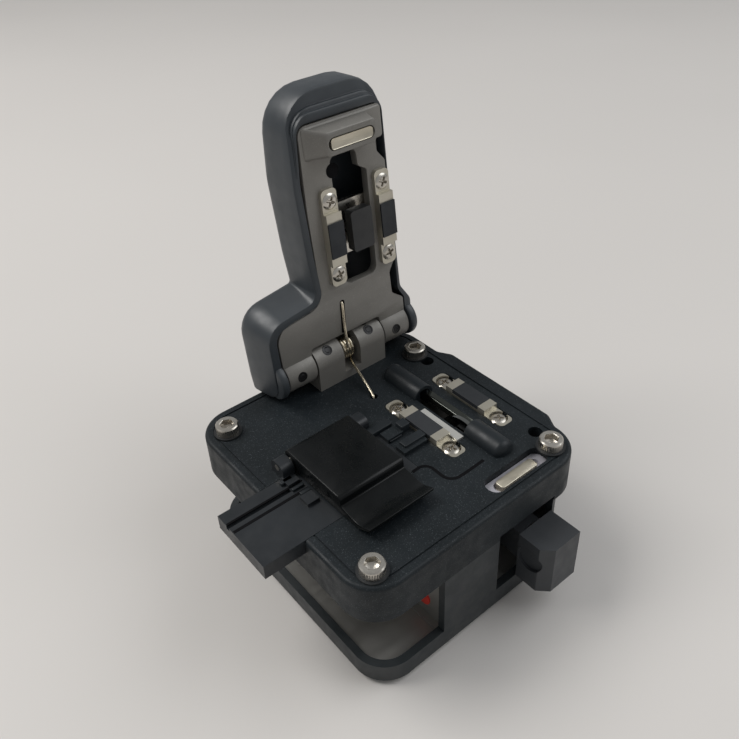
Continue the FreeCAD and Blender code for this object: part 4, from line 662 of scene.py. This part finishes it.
rows = [hood_row(inner, FRAME_SEAT), hood_row(inner, -1.9)]
for share, rise in ((0.97, 0.1), (0.93, 0.0), (0.66, 0.0), (0.635, 0.1), (0.61, 0.85), (0.59, 0.9),
                    (0.51, 0.92), (0.485, 1.02), (0.465, 1.8), (0.44, 1.86), (0.05, 1.9)):
    rows.append(hood_row((1 - share) * outer[0.3] + share * inner, PLATE_FACE, rise))
rows += [hood_row(outer[0.12], -2.48, 1.95), hood_row(outer[0.0], -2.15, 2.0)]
swell = -np.array([0, 0, 0, 0, 0, 0.4, 0.4, 0.4, 0.4, 0.4, 0.3, 0.5, 0.4, 0.4, 0.4, 1.9, 1.3, 1.3, 1.3, 1.3])
for share, depth in ((0.35, 0.5), (0.75, 3.2), (1.0, 6.4)):
    rows.append(hood_row(rounded_loop(hood_corners, hood_rounds, swell * share), depth))
for angle in np.radians([15, 30, 45, 60, 75, 90]):
    rows.append(hood_row(rounded_loop(hood_corners, hood_rounds, swell + BACK_RADIUS * (1 - math.cos(angle))),
                         SWELL_END + BACK_RADIUS * math.sin(angle)))
hood = skin("lever_hood", rows, "lever", hood_black, 35)
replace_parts(hood, "lever_shell")
barrel("hood_cheek_left", -12.0, -9.85, 4.9, "lever", hood_black, 0.6)
barrel("hood_cheek_right", 28.15, 30.4, 4.9, "lever", hood_black, 0.6)


# ------------------------------------------------------------------ torsion spring
# Bright spring wire, drawn and a little golden. One leg lies in a slot of the frame, the other is bent
# down into a hole in the cover.
spring_steel = finish("spring_wire", (0.62, 0.55, 0.42), (0.75, 0.68, 0.54), (0.15, 0.25), 3000, 0.00001,
                      metallic=1.0)
dress(spring_steel, "torsion_spring")


def wire(name, path, radius, body, material):
    """Round wire along a smooth path: a circle stands square to the path at each of its points.

    The path is drawn through stations points, and each is the mean of the smooth points round it.
    """
    stations = 60
    smooth = 7
    path = np.asarray(path, float)
    fine = np.linspace(0, len(path) - 1, stations)
    path = np.stack([np.interp(fine, np.arange(len(path)), path[:, axis]) for axis in range(3)], axis=1)
    kernel = np.ones(smooth) / smooth
    path = np.stack([np.convolve(np.pad(path[:, axis], smooth // 2, mode="edge"), kernel, "valid")
                     for axis in range(3)], axis=1)
    way = np.gradient(path, axis=0)
    way /= np.linalg.norm(way, axis=1)[:, None]
    side = np.cross(way, (1.0, 0.0, 0.0))
    side /= np.linalg.norm(side, axis=1)[:, None]
    other = np.cross(way, side)
    turn = full_turn(12)
    rows = path[:, None, :] + radius * (side[:, None, :] * np.cos(turn)[None, :, None]
                                        + other[:, None, :] * np.sin(turn)[None, :, None])
    return skin(name, rows, body, material)


WIRE_RADIUS = 0.36
lower_leg = [(10.6, 25.6, 36.4), (9.6, 23.6, 36.0), (8.4, 17.6, 34.4), (7.5, 13.6, 33.3), (7.1, 12.3, 32.9),
             (7.0, 12.0, 32.3)]
upper_leg = [(8.3, 1.3, -3.65), (8.5, 4.2, -3.35), (8.7, 8.0, -2.95), (9.0, 13.0, -2.8), (9.05, 13.6, -2.4)]
wire("spring_leg_lower", lower_leg, WIRE_RADIUS, "root", spring_steel)
wire("spring_leg_upper", [on_lever(*point) for point in upper_leg], WIRE_RADIUS, "lever", spring_steel)


# ------------------------------------------------------------------ slot and hole of the frame
# The spring's upper leg lies in a slot that is milled in the frame, and a round hole is drilled beside
# the anvil's window. Neither is cut here: each is a dark patch on the plate's face, painted shade of its
# inside.
def frame_cut_shade(name, loop, level):
    """Painted shade of a cut, as a dark patch: its outline just under the plate's face and again at a level
    just over it.
    """
    rows = [np.stack(on_lever(loop[:, 0], loop[:, 1], np.full(len(loop), depth)), axis=1)
            for depth in (-2.5, level)]
    return skin(name, rows, "lever", groove_shadow)


frame_cut_shade("spring_slot_shade", rounded_loop([(8.0, 5.4), (9.3, 5.4), (9.9, 14.1), (8.5, 14.1)],
                                      [0.3, 0.3, 0.6, 0.6]), -2.63)
frame_cut_shade("frame_hole_shade", arc((11.3, 45.8), 1.7, 0, 360, 33)[:-1], -2.64)

# ------------------------------------------------------------------ anvil
# The anvil is a black moulded shoe. It hangs in its bridge on the lever and bends the fibre over the
# place of the cut.
dress(finish("anvil_plastic", (0.01, 0.011, 0.012), (0.018, 0.019, 0.02), (0.4, 0.55), 4000, 0.00002),
      "anvil")

# ------------------------------------------------------------------ blade and rail
# The wheel is hardened steel, ground and lapped. The rail is the same steel, ground along its length.
dress(finish("lapped_steel", (0.16, 0.165, 0.16), (0.26, 0.27, 0.26), (0.08, 0.2), 2500, 0.000004,
             metallic=1.0), "blade_wheel", "guide_rail")

# ------------------------------------------------------------------ slot bar
# A polished dark steel bar lines the blade slot on its right side.
# It is let into the cover.
smoky = finish("smoky_steel", (0.05, 0.055, 0.05), (0.1, 0.105, 0.095), (0.1, 0.2), 2500, 0.000004,
               metallic=0.9)
skin("slot_bar", [at_level(rounded_loop(box_corners(17.1, -12.2, 18.9, 4.6), [0.2] * 4, inset), level)
                  for inset, level in ((0, 31.3), (0, 32.95), (0.12, 33.05))], "root", smoky)

# ------------------------------------------------------------------ button ring
# A bright steel ring is pushed over the button's neck, where it meets the button. It is a torus:
# x = x0 + (R + r * cos b) * cos a, y = y0 + r * sin b, z = z0 + (R + r * cos b) * sin a.
RING_RADIUS = 3.7
RING_WIRE = 0.45
turn = full_turn(48)
around = full_turn(12)
spread = (RING_RADIUS + RING_WIRE * np.cos(around))[:, None]
depth = (-32.6 + RING_WIRE * np.sin(around))[:, None]
ring = np.stack([15.2 + spread * np.cos(turn), np.broadcast_to(depth, (len(around), len(turn))),
                 15.6 + spread * np.sin(turn)], axis=-1)
ring = np.concatenate([ring, ring[:1]])
skin("button_ring", ring, "carriage", steel, ends=False)


# ------------------------------------------------------------------ floor, backdrop and light
# A pale seamless floor, a large soft lamp above and to the left, and an even pale surround.
def stage_plane(name, corners, colour):
    """A large square of the stage with a very faint drift of its colour."""
    mesh = bpy.data.meshes.new(name)
    mesh.from_pydata(corners, [], [(0, 1, 2, 3)])
    plane = bpy.data.objects.new(name, mesh)
    bpy.context.scene.collection.objects.link(plane)
    material, tree, shader = new_material(name)
    tree.links.new(ramp(tree, noise(tree, 3, 3.0), colour, tuple(tone * 1.04 for tone in colour)),
                   shader.inputs["Base Color"])
    shader.inputs["Roughness"].default_value = 0.6
    mesh.materials.append(material)


FLOOR_REACH = 1.6
stage_plane("floor", [(x * FLOOR_REACH, y * FLOOR_REACH, 0) for x, y in ((-1, -1), (1, -1), (1, 1), (-1, 1))],
            (0.63, 0.605, 0.58))


def soft_lamp(name, place, size, power, colour=(1, 1, 1)):
    """A square lamp that faces the middle of the tool; size in metres, power in watts."""
    data = bpy.data.lights.new(name, "AREA")
    data.shape = "SQUARE"
    data.size = size
    data.energy = power
    data.color = colour
    lamp = bpy.data.objects.new(name, data)
    bpy.context.scene.collection.objects.link(lamp)
    lamp.location = place
    lamp.rotation_euler = (Vector((0, 0, 0.03)) - Vector(place)).to_track_quat("-Z", "Y").to_euler()


soft_lamp("key", (-0.35, 0.45, 0.75), 0.5, 5.2, (1.0, 0.985, 0.96))
soft_lamp("fill", (0.5, -0.3, 0.6), 0.6, 2.4, (0.96, 0.98, 1.0))

world = bpy.data.worlds.new("surround")
bpy.context.scene.world = world
world.use_nodes = True
world.node_tree.nodes["Background"].inputs["Color"].default_value = (0.82, 0.83, 0.84, 1)
world.node_tree.nodes["Background"].inputs["Strength"].default_value = 0.42
bpy.context.scene.view_settings.view_transform = "Standard"
